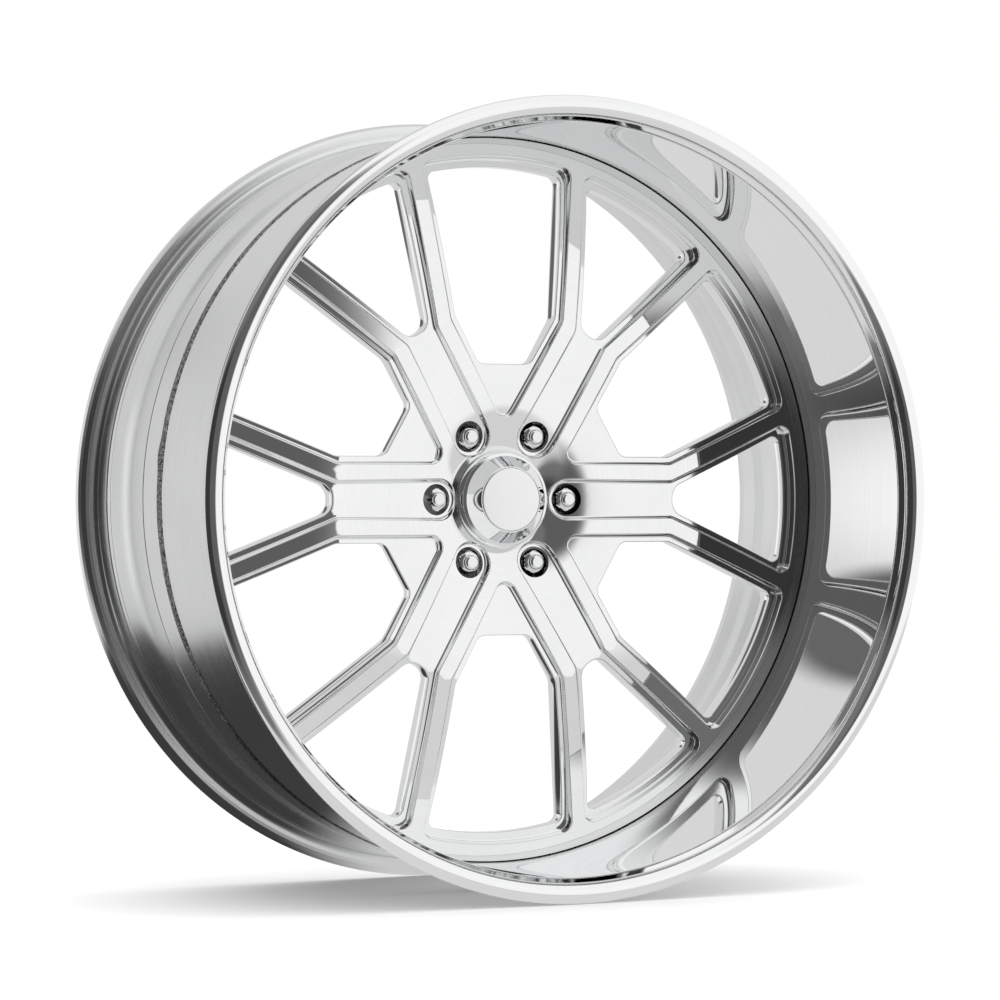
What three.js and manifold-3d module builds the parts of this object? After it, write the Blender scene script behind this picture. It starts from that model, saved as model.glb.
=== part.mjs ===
// Forged two-piece racing wheel: a dished rim of two welded barrel halves around a six-spoke centre.
// Millimetres. The wheel's axis is Y: the outboard face looks toward -Y, +Z is up, and the origin is
// on the axis at the centre plane, midway between the two flanges.

import * as THREE from 'three';
import { mergeVertices } from 'three/addons/utils/BufferGeometryUtils.js';
import Module from 'manifold-3d';

const wasm = await Module();
wasm.setup();

// ---------------------------------------------------------------- driving dimensions

const RIM_WIDTH = 304.8;            // between the flanges' tyre faces: 12 in
const BEAD_SEAT_RADIUS = 358.0;     // 28 in rim, measured where the seat meets the flange
const FLANGE_HEIGHT = 17.5;         // J flange
const FLANGE_CURL = 11.4;           // tyre face to the flange's largest circle, along the axis
const FLANGE_CROWN = 5.0;           // how far the rolled edge stands past its largest circle
const LIP_EDGE_DROP = 1.9;          // bead seat radius down to the edge of the lip's bore
const LIP_EDGE_SETBACK = 3.8;       // that edge behind the flange's largest circle
const FLANGE_HEEL_DROP = 2.8;       // back of the rolled edge, below the largest circle
const FLANGE_HEEL_SETBACK = 8.0;
const SEAT_CORNER = 1.0;
const BARREL_WALL = 4.0;            // spun wall
const BEAD_SEAT_WIDTH = 20.0;
const BEAD_SEAT_TAPER = 1.75;       // fall of the seat over its width: 5 degrees
const HUMP_HEIGHT = 1.1;
const HUMP_WIDTH = 8.0;
const CYLINDER_DROP = 3.5;          // seat radius down to the plain cylinder between the humps
const LIP_FLARE = 14.0;             // axial length over which the bore opens to the flange
const LIP_BORE_TAPER = 1.0;         // growth of the front bore's radius out to the flare
const WELL_DEPTH = 5.0;             // plain cylinder down to the floor of the rear well
const WELL_START = 43.4;            // from the centre plane
const WELL_LEDGE = 4.0;
const WELL_RAMP_LENGTH = 26.4;      // from the well's floor up to the rear hump
const BUTT_PLANE = -1.0;            // where the two barrel halves meet
const WELD_WIDTH = 14.0;
const WELD_ROOT = 1.6;              // metal left under the weld groove
const WELD_CROWN = 1.2;
const CENTRE_WELD_LEG = 4.0;

const CENTRE_RING_FACE = 12.5;      // front face of the centre at its outer edge
const CENTRE_RING_BACK = 34.0;
const RING_FACE_WIDTH = 17.0;       // outer edge in to the pockets' outer arcs
const RING_FACE_RISE = 3.5;
const SPOKE_COUNT = 6;
const ELBOW_RADIUS = 179.0;         // where the spokes are proudest and their rails turn
const ELBOW_FACE = -12.8;
const ELBOW_POCKET_DEPTH = 4.0;
const SHOULDER_RADIUS = 110.0;
const SHOULDER_FACE = -10.3;
const NECK_RADIUS = 78.0;
const NECK_FACE = -6.3;
const HUB_FACE = 1.2;
const HUB_FACE_MARGIN = 0.5;        // hub face beyond the cap's base
const PAD_PLANE = 44.0;             // mounting face: 44 mm inboard of the centre plane
const PAD_MARGIN = 26.15;           // lug circle out to the edge of the pad
const PAD_SKIRT_WIDTH = 32.0;       // pad's edge out to where its back cone meets the spokes' backs
const SPOKE_BACK = 8.0;
const HUB_BORE_RADIUS = 39.05;      // 78.1 mm hub

const POCKET_FLOOR = 2.2;           // floor level around the lug holes
const POCKET_FLOOR_FLAT = 58.0;     // floor stays level out to this radius
const POCKET_BREAK_RADIUS = 94.0;   // floor rises steeply to here, then gently to the elbow
const POCKET_BREAK = -2.9;
const POCKET_DEPTH_AT_RING = 11.4;
const LEDGE_AT_RAILS = 7.5;
const LEDGE_AT_RING = 10.5;
const CORNER_RADIUS = 9.0;
const RAIL_WIDTH = 14.4;
const RAIL_TURN = THREE.MathUtils.degToRad(22.2);
const SPOKE_POCKET_HALF = 18.9;     // at the elbow
const SPOKE_POCKET_HALF_HUB = 20.8;
const SPOKE_WINDOW_SETBACK = 3.1;   // elbow out to the start of the window
const SPOKE_WINDOW_END_RADIUS = 16.0;
const GAP_POCKET_TIP_RADIUS = 12.0;
const GAP_WINDOW_START = 130.0;
const WINDOW_CORNER_RADIUS = 11.0;

const LUG_CIRCLE_RADIUS = 69.85;    // 6 x 139.7
const LUG_SOCKET_ROOM = 2.33;       // counterbore wall clear of the nut's corners
const LUG_SEAT_DEPTH = 20.0;        // pocket floor to the top of the conical seat
const LUG_SEAT_MARGIN = 1.0;        // top of the conical seat beyond the nut's flats
const LUG_HOLE_RADIUS = 7.6;
const LUG_SEAT_HALF_ANGLE = THREE.MathUtils.degToRad(30);
const NUT_ACROSS_FLATS = 21.0;
const NUT_NOSE_RADIUS = 7.25;
const NUT_NOSE_STANDOFF = 9.0;      // nose tip above the pocket floor
const NUT_NOSE_LENGTH = 6.5;
const NUT_NOSE_CHAMFER = 1.6;
const NUT_SHOULDER_FALL = 1.2;
const NUT_END_WALL = 2.0;           // metal between the nose and the thread
const NUT_THREAD_RADIUS = 6.0;
const NUT_THREAD_DEPTH = 22.0;

const CAP_SEAT_WIDTH = 7.95;        // hub bore out to the edge of the cap's base
const CAP_FLARE = 1.7;              // base radius in to the rim
const CAP_RIM_HEIGHT = 8.8;         // rim above the hub face
const CAP_LEDGE_WIDTH = 3.2;        // rim in to the foot of the cone
const CAP_LEDGE_RISE = 0.7;
const CAP_DISC_RADIUS = 31.7;
const CAP_HEIGHT = 21.0;            // disc edge above the hub face
const CAP_WALL = 2.6;
const CAP_SKIRT_LENGTH = 16.0;
const CAP_SKIRT_WALL = 2.4;
const BADGE_THICKNESS = 1.8;
const BADGE_RIM = 1.0;              // edge of the cap left around the disc
const BADGE_CROWN = 0.5;
const BADGE_EDGE = 0.5;
const O_RING_CROWN = 0.3;
const RING_GROOVE_WIDTH = 2.6;
const RING_GROOVE_DEPTH = 1.4;
const O_RING_PLACE = 5.0;           // below the hub face
const SNAP_RING_PLACE = 11.0;
const SNAP_RING_OPENING = THREE.MathUtils.degToRad(24);

const VALVE_ANGLE = THREE.MathUtils.degToRad(12.5);
const VALVE_GROMMET_WALL = 1.1;     // rubber around the stem in the rim's hole
const VALVE_STEM_RADIUS = 4.0;
const VALVE_HEAD_RADIUS = 8.0;
const VALVE_HEAD_HEIGHT = 2.6;
const VALVE_GROMMET_HEIGHT = 2.2;
const VALVE_WASHER_HEIGHT = 1.4;
const VALVE_NUT_HEIGHT = 5.0;
const VALVE_NUT_ACROSS_FLATS = 14.0;
const VALVE_STEM_REACH = 25.0;      // well bore to the stem's tip
const VALVE_BORE_RADIUS = 2.7;
const VALVE_CORE_BORE = 1.3;
const VALVE_CORE_RECESS = 1.0;
const VALVE_CORE_LENGTH = 12.0;
const VALVE_PIN_RADIUS = 0.9;
const VALVE_PIN_STANDOFF = 1.4;
const VALVE_PIN_COLLAR = 1.2;
const VALVE_CAP_WALL = 1.0;
const VALVE_CAP_LENGTH = 10.0;
const VALVE_CAP_CHAMFER = 0.6;

const FIT = 0.3;                    // clearance between neighbouring pieces
const TURN_STEPS = 48;              // facets around the large turned pieces
const FLOOR_STEPS = 36;             // facets around the pockets' floors
const CAP_STEPS = 30;
const SMALL_STEPS = 12;
const ARC_STEP = THREE.MathUtils.degToRad(30);
const ARC_CHORD = 27;               // length of one straight piece of a long arc
const THROUGH = 60;                 // reach of a cutter past both faces
const MERGE = 1e-4;                 // vertices closer than this are one

// ---------------------------------------------------------------- derived sizes

const FLANGE_RADIUS = BEAD_SEAT_RADIUS + FLANGE_HEIGHT;
const TYRE_FACE = RIM_WIDTH / 2;
const FLANGE_CIRCLE = TYRE_FACE + FLANGE_CURL;
const SEAT_INNER_RADIUS = BEAD_SEAT_RADIUS - BEAD_SEAT_TAPER;
const CYLINDER_RADIUS = BEAD_SEAT_RADIUS - CYLINDER_DROP;
const BORE_RADIUS = CYLINDER_RADIUS - BARREL_WALL + FIT;
const LIP_EDGE_RADIUS = BEAD_SEAT_RADIUS - LIP_EDGE_DROP;
const WELL_RADIUS = CYLINDER_RADIUS - WELL_DEPTH;
const WELL_BORE = WELL_RADIUS - BARREL_WALL;
const WELL_RAMP_END = TYRE_FACE - BEAD_SEAT_WIDTH - HUMP_WIDTH;
const WELL_FLOOR_START = WELL_START + WELL_LEDGE;
const WELL_FLOOR_END = WELL_RAMP_END - WELL_RAMP_LENGTH;
const CENTRE_RADIUS = BORE_RADIUS - FIT;
const POCKET_OUTER_RADIUS = CENTRE_RADIUS - RING_FACE_WIDTH;
const WINDOW_OUTER_RADIUS = POCKET_OUTER_RADIUS - LEDGE_AT_RING;
const POCKET_FLOOR_AT_RING = CENTRE_RING_FACE - RING_FACE_RISE + POCKET_DEPTH_AT_RING;
const ELBOW_FLOOR = ELBOW_FACE + ELBOW_POCKET_DEPTH;
const GAP_POCKET_HALF = SPOKE_POCKET_HALF + RAIL_WIDTH;
const SPOKE_PITCH = (2 * Math.PI) / SPOKE_COUNT;
const PAD_RADIUS = LUG_CIRCLE_RADIUS + PAD_MARGIN;
const LUG_COUNTERBORE_RADIUS = NUT_ACROSS_FLATS / Math.sqrt(3) + LUG_SOCKET_ROOM;
const LUG_SEAT_RADIUS = NUT_ACROSS_FLATS / 2 + LUG_SEAT_MARGIN;
const LUG_SEAT_TOP = POCKET_FLOOR + LUG_SEAT_DEPTH;
const LUG_SEAT_LENGTH = (LUG_SEAT_RADIUS - LUG_HOLE_RADIUS) / Math.tan(LUG_SEAT_HALF_ANGLE);
const SKIRT_RADIUS = HUB_BORE_RADIUS - FIT;
const CAP_BASE_RADIUS = HUB_BORE_RADIUS + CAP_SEAT_WIDTH;
const CAP_RIM_RADIUS = CAP_BASE_RADIUS - CAP_FLARE;
const HUB_FACE_RADIUS = CAP_BASE_RADIUS + HUB_FACE_MARGIN;
const CAP_TOP = HUB_FACE - CAP_HEIGHT;

// ---------------------------------------------------------------- shared geometry

const metal = (color, roughness) => new THREE.MeshStandardMaterial({ color, roughness, metalness: 1 });
const rubber = (color) => new THREE.MeshStandardMaterial({ color, roughness: 0.85, metalness: 0 });

const POLISHED = metal(0xd9dbdd, 0.12);
const MACHINED = metal(0xc4c6c8, 0.35);
const WELDED = metal(0x5c5d5f, 0.6);
const CHROMED = metal(0xe4e5e7, 0.08);
const STEEL = metal(0x9da0a4, 0.3);
const BRASS = metal(0xb9a05a, 0.35);
const BLACK_RUBBER = rubber(0x161616);

const point = (x, y) => new THREE.Vector2(x, y);

// A turned piece: pairs of radius and place along the axis, in order around the section. A section
// that starts and ends on the axis is left as it is, and any other closes on itself.
function turned(section, steps) {
  const points = section.map(([radius, place]) => point(radius, place));
  if (THREE.ShapeUtils.area(points) < 0) points.reverse();
  const solid = points[0].x === 0 && points[points.length - 1].x === 0;
  if (!solid) points.push(points[0].clone());
  return new THREE.LatheGeometry(points, steps);
}

function toSolid(geometry) {
  const plain = geometry.clone();
  plain.deleteAttribute('normal');
  plain.deleteAttribute('uv');
  const merged = mergeVertices(plain, MERGE);
  const kept = [];
  const index = merged.index.array;
  for (let i = 0; i < index.length; i += 3) {
    const [a, b, c] = [index[i], index[i + 1], index[i + 2]];
    if (a !== b && b !== c && c !== a) kept.push(a, b, c);
  }
  return new wasm.Manifold(new wasm.Mesh({
    numProp: 3,
    vertProperties: new Float32Array(merged.attributes.position.array),
    triVerts: new Uint32Array(kept),
  }));
}

function toGeometry(solid) {
  const mesh = solid.getMesh();
  const geometry = new THREE.BufferGeometry();
  geometry.setAttribute('position', new THREE.BufferAttribute(mesh.vertProperties, 3));
  geometry.setIndex(new THREE.BufferAttribute(mesh.triVerts, 1));
  return geometry;
}

// An outline with its corners rounded: each corner is [u, v, radius].
function roundedOutline(corners) {
  const shape = new THREE.Shape();
  const count = corners.length;
  const draw = (p, first) => (first ? shape.moveTo(p.x, p.y) : shape.lineTo(p.x, p.y));
  corners.forEach(([u, v, radius], i) => {
    const corner = point(u, v);
    if (!radius) {
      draw(corner, i === 0);
      return;
    }
    const before = point(...corners[(i + count - 1) % count]).sub(corner).normalize();
    const after = point(...corners[(i + 1) % count]).sub(corner).normalize();
    const half = Math.acos(THREE.MathUtils.clamp(before.dot(after), -1, 1)) / 2;
    const middle = before.clone().add(after).normalize();
    const centre = corner.clone().addScaledVector(middle, radius / Math.sin(half));
    const start = corner.clone().addScaledVector(before, radius / Math.tan(half)).sub(centre);
    const turn = Math.PI - 2 * half;
    const side = Math.sign(before.cross(after)) || 1;
    const steps = Math.max(2, Math.ceil(turn / ARC_STEP));
    for (let k = 0; k <= steps; k += 1) {
      const spoke = start.clone().rotateAround(point(0, 0), (-side * turn * k) / steps);
      draw(centre.clone().add(spoke), i === 0 && k === 0);
    }
  });
  return shape;
}

// A prism along the wheel's axis, its outline turned by an angle about that axis.
function axialPrism(shape, angle, from, to) {
  const depth = to - from;
  const geometry = new THREE.ExtrudeGeometry(shape, { depth, bevelEnabled: false, curveSegments: 1 });
  geometry.rotateX(Math.PI / 2);
  geometry.translate(0, to, 0);
  geometry.rotateY(-angle);
  return geometry;
}

// The half outline of a pocket or window is mirrored across its own centre line.
const mirrored = (half) => [...half, ...half.map(([u, v, r]) => [u, -v, r]).reverse()];

// The outer end of an outline: the corner where a rail meets the arc, and points along that arc.
function outerEnd(start, direction, radius, corner) {
  const along = start.dot(direction);
  const reach = -along + Math.sqrt(along * along - start.lengthSq() + radius * radius);
  const end = start.clone().addScaledVector(direction, reach);
  const from = Math.atan2(end.y, end.x);
  const steps = Math.max(2, Math.round((from * radius) / ARC_CHORD));
  const points = [[end.x, end.y, corner]];
  for (let k = 1; k < steps; k += 1) {
    const angle = from * (1 - k / steps);
    points.push([radius * Math.cos(angle), radius * Math.sin(angle), 0]);
  }
  return points;
}

const heading = (angle) => point(Math.cos(angle), Math.sin(angle));

// A pocket or window inside a spoke, its centre line along the spoke.
function spokeOutline(startRadius, hubHalf, elbowHalf, radius, endCorner, corner) {
  const elbow = point(Math.max(ELBOW_RADIUS, startRadius), elbowHalf);
  const half = [[startRadius, hubHalf, endCorner]];
  if (startRadius < ELBOW_RADIUS) half.push([elbow.x, elbow.y, 0]);
  half.push(...outerEnd(elbow, heading(RAIL_TURN), radius, corner));
  return roundedOutline(mirrored(half));
}

// A pocket or window between two spokes, its centre line midway between them.
function gapOutline(offset, radius, corner, tip) {
  const half = SPOKE_PITCH / 2;
  const away = GAP_POCKET_HALF + offset;
  const along = heading(half);
  const side = point(-along.y, along.x).multiplyScalar(-1);
  const elbow = along.clone().multiplyScalar(ELBOW_RADIUS).addScaledVector(side, away);
  const direction = heading(half - RAIL_TURN);
  const start = tip.map(([u, r]) => [u, (u - away / Math.sin(half)) * Math.tan(half), r]);
  const end = outerEnd(elbow, direction, radius, corner);
  return roundedOutline(mirrored([...start, [elbow.x, elbow.y, 0], ...end]));
}

const root = new THREE.Group();

function add(name, geometry, material, parent = root) {
  const mesh = new THREE.Mesh(geometry, material);
  mesh.name = name;
  parent.add(mesh);
  return mesh;
}

// ---------------------------------------------------------------- rim: two barrel halves and their welds

// The rolled flange, from the lip's edge round to the tyre face; side is -1 outboard, +1 inboard.
function flangeSection(side) {
  const middle = (LIP_EDGE_RADIUS + FLANGE_RADIUS) / 2;
  const half = (FLANGE_RADIUS - LIP_EDGE_RADIUS) / 2;
  const base = FLANGE_CIRCLE - LIP_EDGE_SETBACK;
  const section = [];
  for (let k = 0; k <= 4; k += 1) {
    const angle = Math.PI - (Math.PI * k) / 4;
    const foot = k < 2 ? base : FLANGE_CIRCLE;
    const lift = FLANGE_CIRCLE + FLANGE_CROWN - foot;
    section.push([middle + half * Math.cos(angle), side * (foot + lift * Math.sin(angle))]);
  }
  section.push([FLANGE_RADIUS - FLANGE_HEEL_DROP, side * (FLANGE_CIRCLE - FLANGE_HEEL_SETBACK)]);
  section.push([FLANGE_RADIUS - FLANGE_CURL, side * TYRE_FACE]);
  section.push([BEAD_SEAT_RADIUS, side * (TYRE_FACE - SEAT_CORNER)]);
  return section;
}

// Bead seat and safety hump, from the flange in toward the centre plane.
function seatSection(side) {
  const inner = TYRE_FACE - BEAD_SEAT_WIDTH;
  return [
    [SEAT_INNER_RADIUS, side * inner],
    [SEAT_INNER_RADIUS + HUMP_HEIGHT, side * (inner - HUMP_WIDTH / 2)],
  ];
}

const lipBore = [
  [BORE_RADIUS, BUTT_PLANE - FIT / 2],
  [BORE_RADIUS + LIP_BORE_TAPER, -FLANGE_CIRCLE + LIP_FLARE],
];

const outerBarrelSection = [
  ...lipBore,
  ...flangeSection(-1),
  ...seatSection(-1),
  [CYLINDER_RADIUS, -TYRE_FACE + BEAD_SEAT_WIDTH + HUMP_WIDTH],
  [CYLINDER_RADIUS, BUTT_PLANE - WELD_WIDTH / 2],
  [BORE_RADIUS + WELD_ROOT, BUTT_PLANE - FIT / 2],
];

const innerBarrelSection = [
  [BORE_RADIUS, BUTT_PLANE + FIT / 2],
  [BORE_RADIUS + WELD_ROOT, BUTT_PLANE + FIT / 2],
  [CYLINDER_RADIUS, BUTT_PLANE + WELD_WIDTH / 2],
  [CYLINDER_RADIUS, WELL_START],
  [WELL_RADIUS, WELL_FLOOR_START],
  [WELL_RADIUS, WELL_FLOOR_END],
  [SEAT_INNER_RADIUS, WELL_RAMP_END],
  ...seatSection(1).reverse(),
  ...flangeSection(1).reverse(),
  [SEAT_INNER_RADIUS - BARREL_WALL, FLANGE_CIRCLE - LIP_FLARE],
  [SEAT_INNER_RADIUS - BARREL_WALL, WELL_RAMP_END],
  [WELL_BORE, WELL_FLOOR_END],
  [WELL_BORE, WELL_FLOOR_START],
  [BORE_RADIUS, WELL_START - WELL_LEDGE / 2],
];

const valvePlace = new THREE.Matrix4().makeRotationY(-VALVE_ANGLE);
valvePlace.setPosition(0, (WELL_FLOOR_START + WELL_FLOOR_END) / 2, 0);

// Valve pieces are turned about their own axis, which runs in along the wheel's radius at VALVE_ANGLE:
// heights are given as radii from the wheel's axis.
function valvePiece(section, steps = SMALL_STEPS) {
  const geometry = turned(section, steps);
  geometry.rotateZ(-Math.PI / 2);
  geometry.applyMatrix4(valvePlace);
  return geometry;
}

const valveHoleRadius = VALVE_STEM_RADIUS + VALVE_GROMMET_WALL + 2 * FIT;
const valveHole = toSolid(valvePiece([
  [0, WELL_BORE - THROUGH / 2],
  [valveHoleRadius, WELL_BORE - THROUGH / 2],
  [valveHoleRadius, WELL_RADIUS + THROUGH / 2],
  [0, WELL_RADIUS + THROUGH / 2],
]));

add('outer_barrel', turned(outerBarrelSection, TURN_STEPS), POLISHED);
const innerBarrel = toSolid(turned(innerBarrelSection, TURN_STEPS)).subtract(valveHole);
add('inner_barrel', toGeometry(innerBarrel), MACHINED);

add('barrel_weld', turned([
  [BORE_RADIUS + WELD_ROOT + 2 * FIT, BUTT_PLANE],
  [CYLINDER_RADIUS + FIT / 2, BUTT_PLANE + WELD_WIDTH / 2 - FIT],
  [CYLINDER_RADIUS + WELD_CROWN, BUTT_PLANE],
  [CYLINDER_RADIUS + FIT / 2, BUTT_PLANE - WELD_WIDTH / 2 + FIT],
], TURN_STEPS), WELDED);

add('centre_weld', turned([
  [CENTRE_RADIUS - CENTRE_WELD_LEG, CENTRE_RING_BACK + FIT],
  [CENTRE_RADIUS, CENTRE_RING_BACK + FIT],
  [CENTRE_RADIUS, CENTRE_RING_BACK + FIT + CENTRE_WELD_LEG],
], TURN_STEPS), WELDED);

// ---------------------------------------------------------------- forged centre

const ringPlace = CENTRE_RING_FACE - RING_FACE_RISE;

const centreSection = [
  [HUB_BORE_RADIUS, HUB_FACE],
  [HUB_FACE_RADIUS, HUB_FACE],
  [NECK_RADIUS, NECK_FACE],
  [SHOULDER_RADIUS, SHOULDER_FACE],
  [ELBOW_RADIUS, ELBOW_FACE],
  [POCKET_OUTER_RADIUS, ringPlace],
  [CENTRE_RADIUS, CENTRE_RING_FACE],
  [CENTRE_RADIUS, CENTRE_RING_BACK],
  [WINDOW_OUTER_RADIUS, CENTRE_RING_BACK],
  [ELBOW_RADIUS, SPOKE_BACK],
  [PAD_RADIUS + PAD_SKIRT_WIDTH, SPOKE_BACK],
  [PAD_RADIUS, PAD_PLANE],
  [HUB_BORE_RADIUS, PAD_PLANE],
];

// Everything behind the pockets' floors: level at the hub, proudest at the elbows, then falling back
// to the ring.
const floorSection = [
  [0, POCKET_FLOOR],
  [POCKET_FLOOR_FLAT, POCKET_FLOOR],
  [POCKET_BREAK_RADIUS, POCKET_BREAK],
  [ELBOW_RADIUS, ELBOW_FLOOR],
  [POCKET_OUTER_RADIUS, POCKET_FLOOR_AT_RING],
  [FLANGE_RADIUS, POCKET_FLOOR_AT_RING],
  [FLANGE_RADIUS, THROUGH * 2],
  [0, THROUGH * 2],
];

const spokePocket = spokeOutline(LUG_CIRCLE_RADIUS - SPOKE_POCKET_HALF_HUB, SPOKE_POCKET_HALF_HUB,
  SPOKE_POCKET_HALF, POCKET_OUTER_RADIUS, SPOKE_POCKET_HALF_HUB - 2 * FIT, CORNER_RADIUS);
const ledgeAcross = LEDGE_AT_RAILS / Math.cos(RAIL_TURN);
const spokeWindowHalf = SPOKE_POCKET_HALF - ledgeAcross + SPOKE_WINDOW_SETBACK * Math.tan(RAIL_TURN);
const spokeWindow = spokeOutline(ELBOW_RADIUS + SPOKE_WINDOW_SETBACK, spokeWindowHalf,
  spokeWindowHalf, WINDOW_OUTER_RADIUS, SPOKE_WINDOW_END_RADIUS, CORNER_RADIUS);
const pocketTip = GAP_POCKET_HALF / Math.sin(SPOKE_PITCH / 2);
const gapPocket = gapOutline(0, POCKET_OUTER_RADIUS, CORNER_RADIUS, [[pocketTip, GAP_POCKET_TIP_RADIUS]]);
const gapWindow = gapOutline(LEDGE_AT_RAILS, WINDOW_OUTER_RADIUS, CORNER_RADIUS,
  [[GAP_WINDOW_START, WINDOW_CORNER_RADIUS]]);

const lugDrill = [
  [0, -THROUGH],
  [LUG_COUNTERBORE_RADIUS, -THROUGH],
  [LUG_COUNTERBORE_RADIUS, LUG_SEAT_TOP],
  [LUG_SEAT_RADIUS, LUG_SEAT_TOP],
  [LUG_HOLE_RADIUS, LUG_SEAT_TOP + LUG_SEAT_LENGTH],
  [LUG_HOLE_RADIUS, THROUGH],
  [0, THROUGH],
];

// Where the lug on spoke number k sits.
function lugPlace(k) {
  const angle = k * SPOKE_PITCH;
  return new THREE.Vector3(LUG_CIRCLE_RADIUS * Math.cos(angle), 0, LUG_CIRCLE_RADIUS * Math.sin(angle));
}

function forgedCentre() {
  const floors = toSolid(turned(floorSection, FLOOR_STEPS));
  let body = toSolid(turned(centreSection, TURN_STEPS));
  for (let k = 0; k < SPOKE_COUNT; k += 1) {
    const spoke = k * SPOKE_PITCH;
    const gap = spoke + SPOKE_PITCH / 2;
    const pockets = toSolid(axialPrism(spokePocket, spoke, -THROUGH, THROUGH))
      .add(toSolid(axialPrism(gapPocket, gap, -THROUGH, THROUGH)));
    body = body.subtract(pockets.subtract(floors));
    body = body.subtract(toSolid(axialPrism(spokeWindow, spoke, -THROUGH, THROUGH)));
    body = body.subtract(toSolid(axialPrism(gapWindow, gap, -THROUGH, THROUGH)));
    const place = lugPlace(k);
    body = body.subtract(toSolid(turned(lugDrill, SMALL_STEPS).translate(place.x, place.y, place.z)));
  }
  return toGeometry(body);
}

add('forged_centre', forgedCentre(), POLISHED);

// ---------------------------------------------------------------- lug nuts

// A hexagon bar standing along the axis, with its flats facing sideways.
function hexagonBar(acrossFlats, from, to) {
  const radius = acrossFlats / Math.sqrt(3);
  const corners = Array.from({ length: 6 }, (_, k) => {
    const angle = (k * Math.PI) / 3;
    return [radius * Math.cos(angle), radius * Math.sin(angle), 0];
  });
  return axialPrism(roundedOutline(corners), 0, from, to);
}

const nutTip = POCKET_FLOOR - NUT_NOSE_STANDOFF;
const nutShoulder = nutTip + NUT_NOSE_LENGTH;
const nutEnd = LUG_SEAT_TOP + LUG_SEAT_LENGTH - 2 * FIT;
const nutConeEnd = LUG_HOLE_RADIUS + FIT;
const nutConeStart = nutEnd - (LUG_SEAT_RADIUS - nutConeEnd) / Math.tan(LUG_SEAT_HALF_ANGLE);
const threadStart = Math.max(nutShoulder + NUT_END_WALL, nutEnd - NUT_THREAD_DEPTH);

const nutSection = [
  [0, nutTip],
  [NUT_NOSE_RADIUS - NUT_NOSE_CHAMFER, nutTip],
  [NUT_NOSE_RADIUS, nutTip + NUT_NOSE_CHAMFER],
  [NUT_NOSE_RADIUS, nutShoulder],
  [NUT_ACROSS_FLATS / 2, nutShoulder + NUT_SHOULDER_FALL],
  [NUT_ACROSS_FLATS / 2, nutConeStart - FIT],
  [nutConeEnd - FIT, nutEnd - FIT],
  [NUT_THREAD_RADIUS, nutEnd - FIT],
  [NUT_THREAD_RADIUS, threadStart],
  [0, threadStart],
];

const nutCore = toSolid(turned(nutSection, SMALL_STEPS));
const nutHollow = toSolid(turned([
  [0, threadStart],
  [NUT_THREAD_RADIUS, threadStart],
  [NUT_THREAD_RADIUS, nutEnd + FIT],
  [0, nutEnd + FIT],
], SMALL_STEPS));
const nutBar = toSolid(hexagonBar(NUT_ACROSS_FLATS, nutShoulder + NUT_SHOULDER_FALL, nutConeStart - 2 * FIT));
const nutGeometry = toGeometry(nutCore.add(nutBar).subtract(nutHollow));

for (let k = 0; k < SPOKE_COUNT; k += 1) {
  const nut = add(`lug_nut_${k + 1}`, nutGeometry, CHROMED);
  nut.position.copy(lugPlace(k));
}

// ---------------------------------------------------------------- centre cap

const capBase = HUB_FACE - FIT;
const capRim = HUB_FACE - CAP_RIM_HEIGHT;
const badgeSeat = CAP_TOP + BADGE_THICKNESS;
const grooveFloor = SKIRT_RADIUS - RING_GROOVE_DEPTH;
const grooveSides = (place) => [
  [SKIRT_RADIUS, place - RING_GROOVE_WIDTH / 2],
  [grooveFloor, place - RING_GROOVE_WIDTH / 2],
  [grooveFloor, place + RING_GROOVE_WIDTH / 2],
  [SKIRT_RADIUS, place + RING_GROOVE_WIDTH / 2],
];

add('cap_body', turned([
  [0, badgeSeat],
  [CAP_DISC_RADIUS - BADGE_RIM, badgeSeat],
  [CAP_DISC_RADIUS - BADGE_RIM, CAP_TOP],
  [CAP_DISC_RADIUS, CAP_TOP],
  [CAP_RIM_RADIUS - CAP_LEDGE_WIDTH, capRim - CAP_LEDGE_RISE],
  [CAP_RIM_RADIUS, capRim],
  [CAP_BASE_RADIUS, capBase],
  [SKIRT_RADIUS, capBase],
  ...grooveSides(HUB_FACE + O_RING_PLACE),
  ...grooveSides(HUB_FACE + SNAP_RING_PLACE),
  [SKIRT_RADIUS, HUB_FACE + CAP_SKIRT_LENGTH],
  [grooveFloor - CAP_SKIRT_WALL, HUB_FACE + CAP_SKIRT_LENGTH],
  [grooveFloor - CAP_SKIRT_WALL, capRim + CAP_WALL],
  [CAP_DISC_RADIUS - 2 * CAP_WALL, badgeSeat + CAP_WALL],
  [0, badgeSeat + CAP_WALL],
], CAP_STEPS), POLISHED);

const badgeRadius = CAP_DISC_RADIUS - BADGE_RIM - FIT;
add('cap_badge', turned([
  [0, CAP_TOP - BADGE_CROWN],
  [badgeRadius / 2, CAP_TOP - 0.75 * BADGE_CROWN],
  [badgeRadius - BADGE_EDGE, CAP_TOP],
  [badgeRadius, CAP_TOP + BADGE_EDGE],
  [badgeRadius, badgeSeat - FIT],
  [0, badgeSeat - FIT],
], CAP_STEPS), POLISHED);

const ringHalf = RING_GROOVE_WIDTH / 2 - FIT;
const ringInner = grooveFloor + FIT;
const ringOuter = HUB_BORE_RADIUS - FIT / 2;
const oRingPlace = HUB_FACE + O_RING_PLACE;
add('cap_o_ring', turned([
  [ringInner, oRingPlace - ringHalf],
  [ringOuter - O_RING_CROWN, oRingPlace - ringHalf],
  [ringOuter, oRingPlace],
  [ringOuter - O_RING_CROWN, oRingPlace + ringHalf],
  [ringInner, oRingPlace + ringHalf],
], CAP_STEPS), BLACK_RUBBER);

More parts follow.
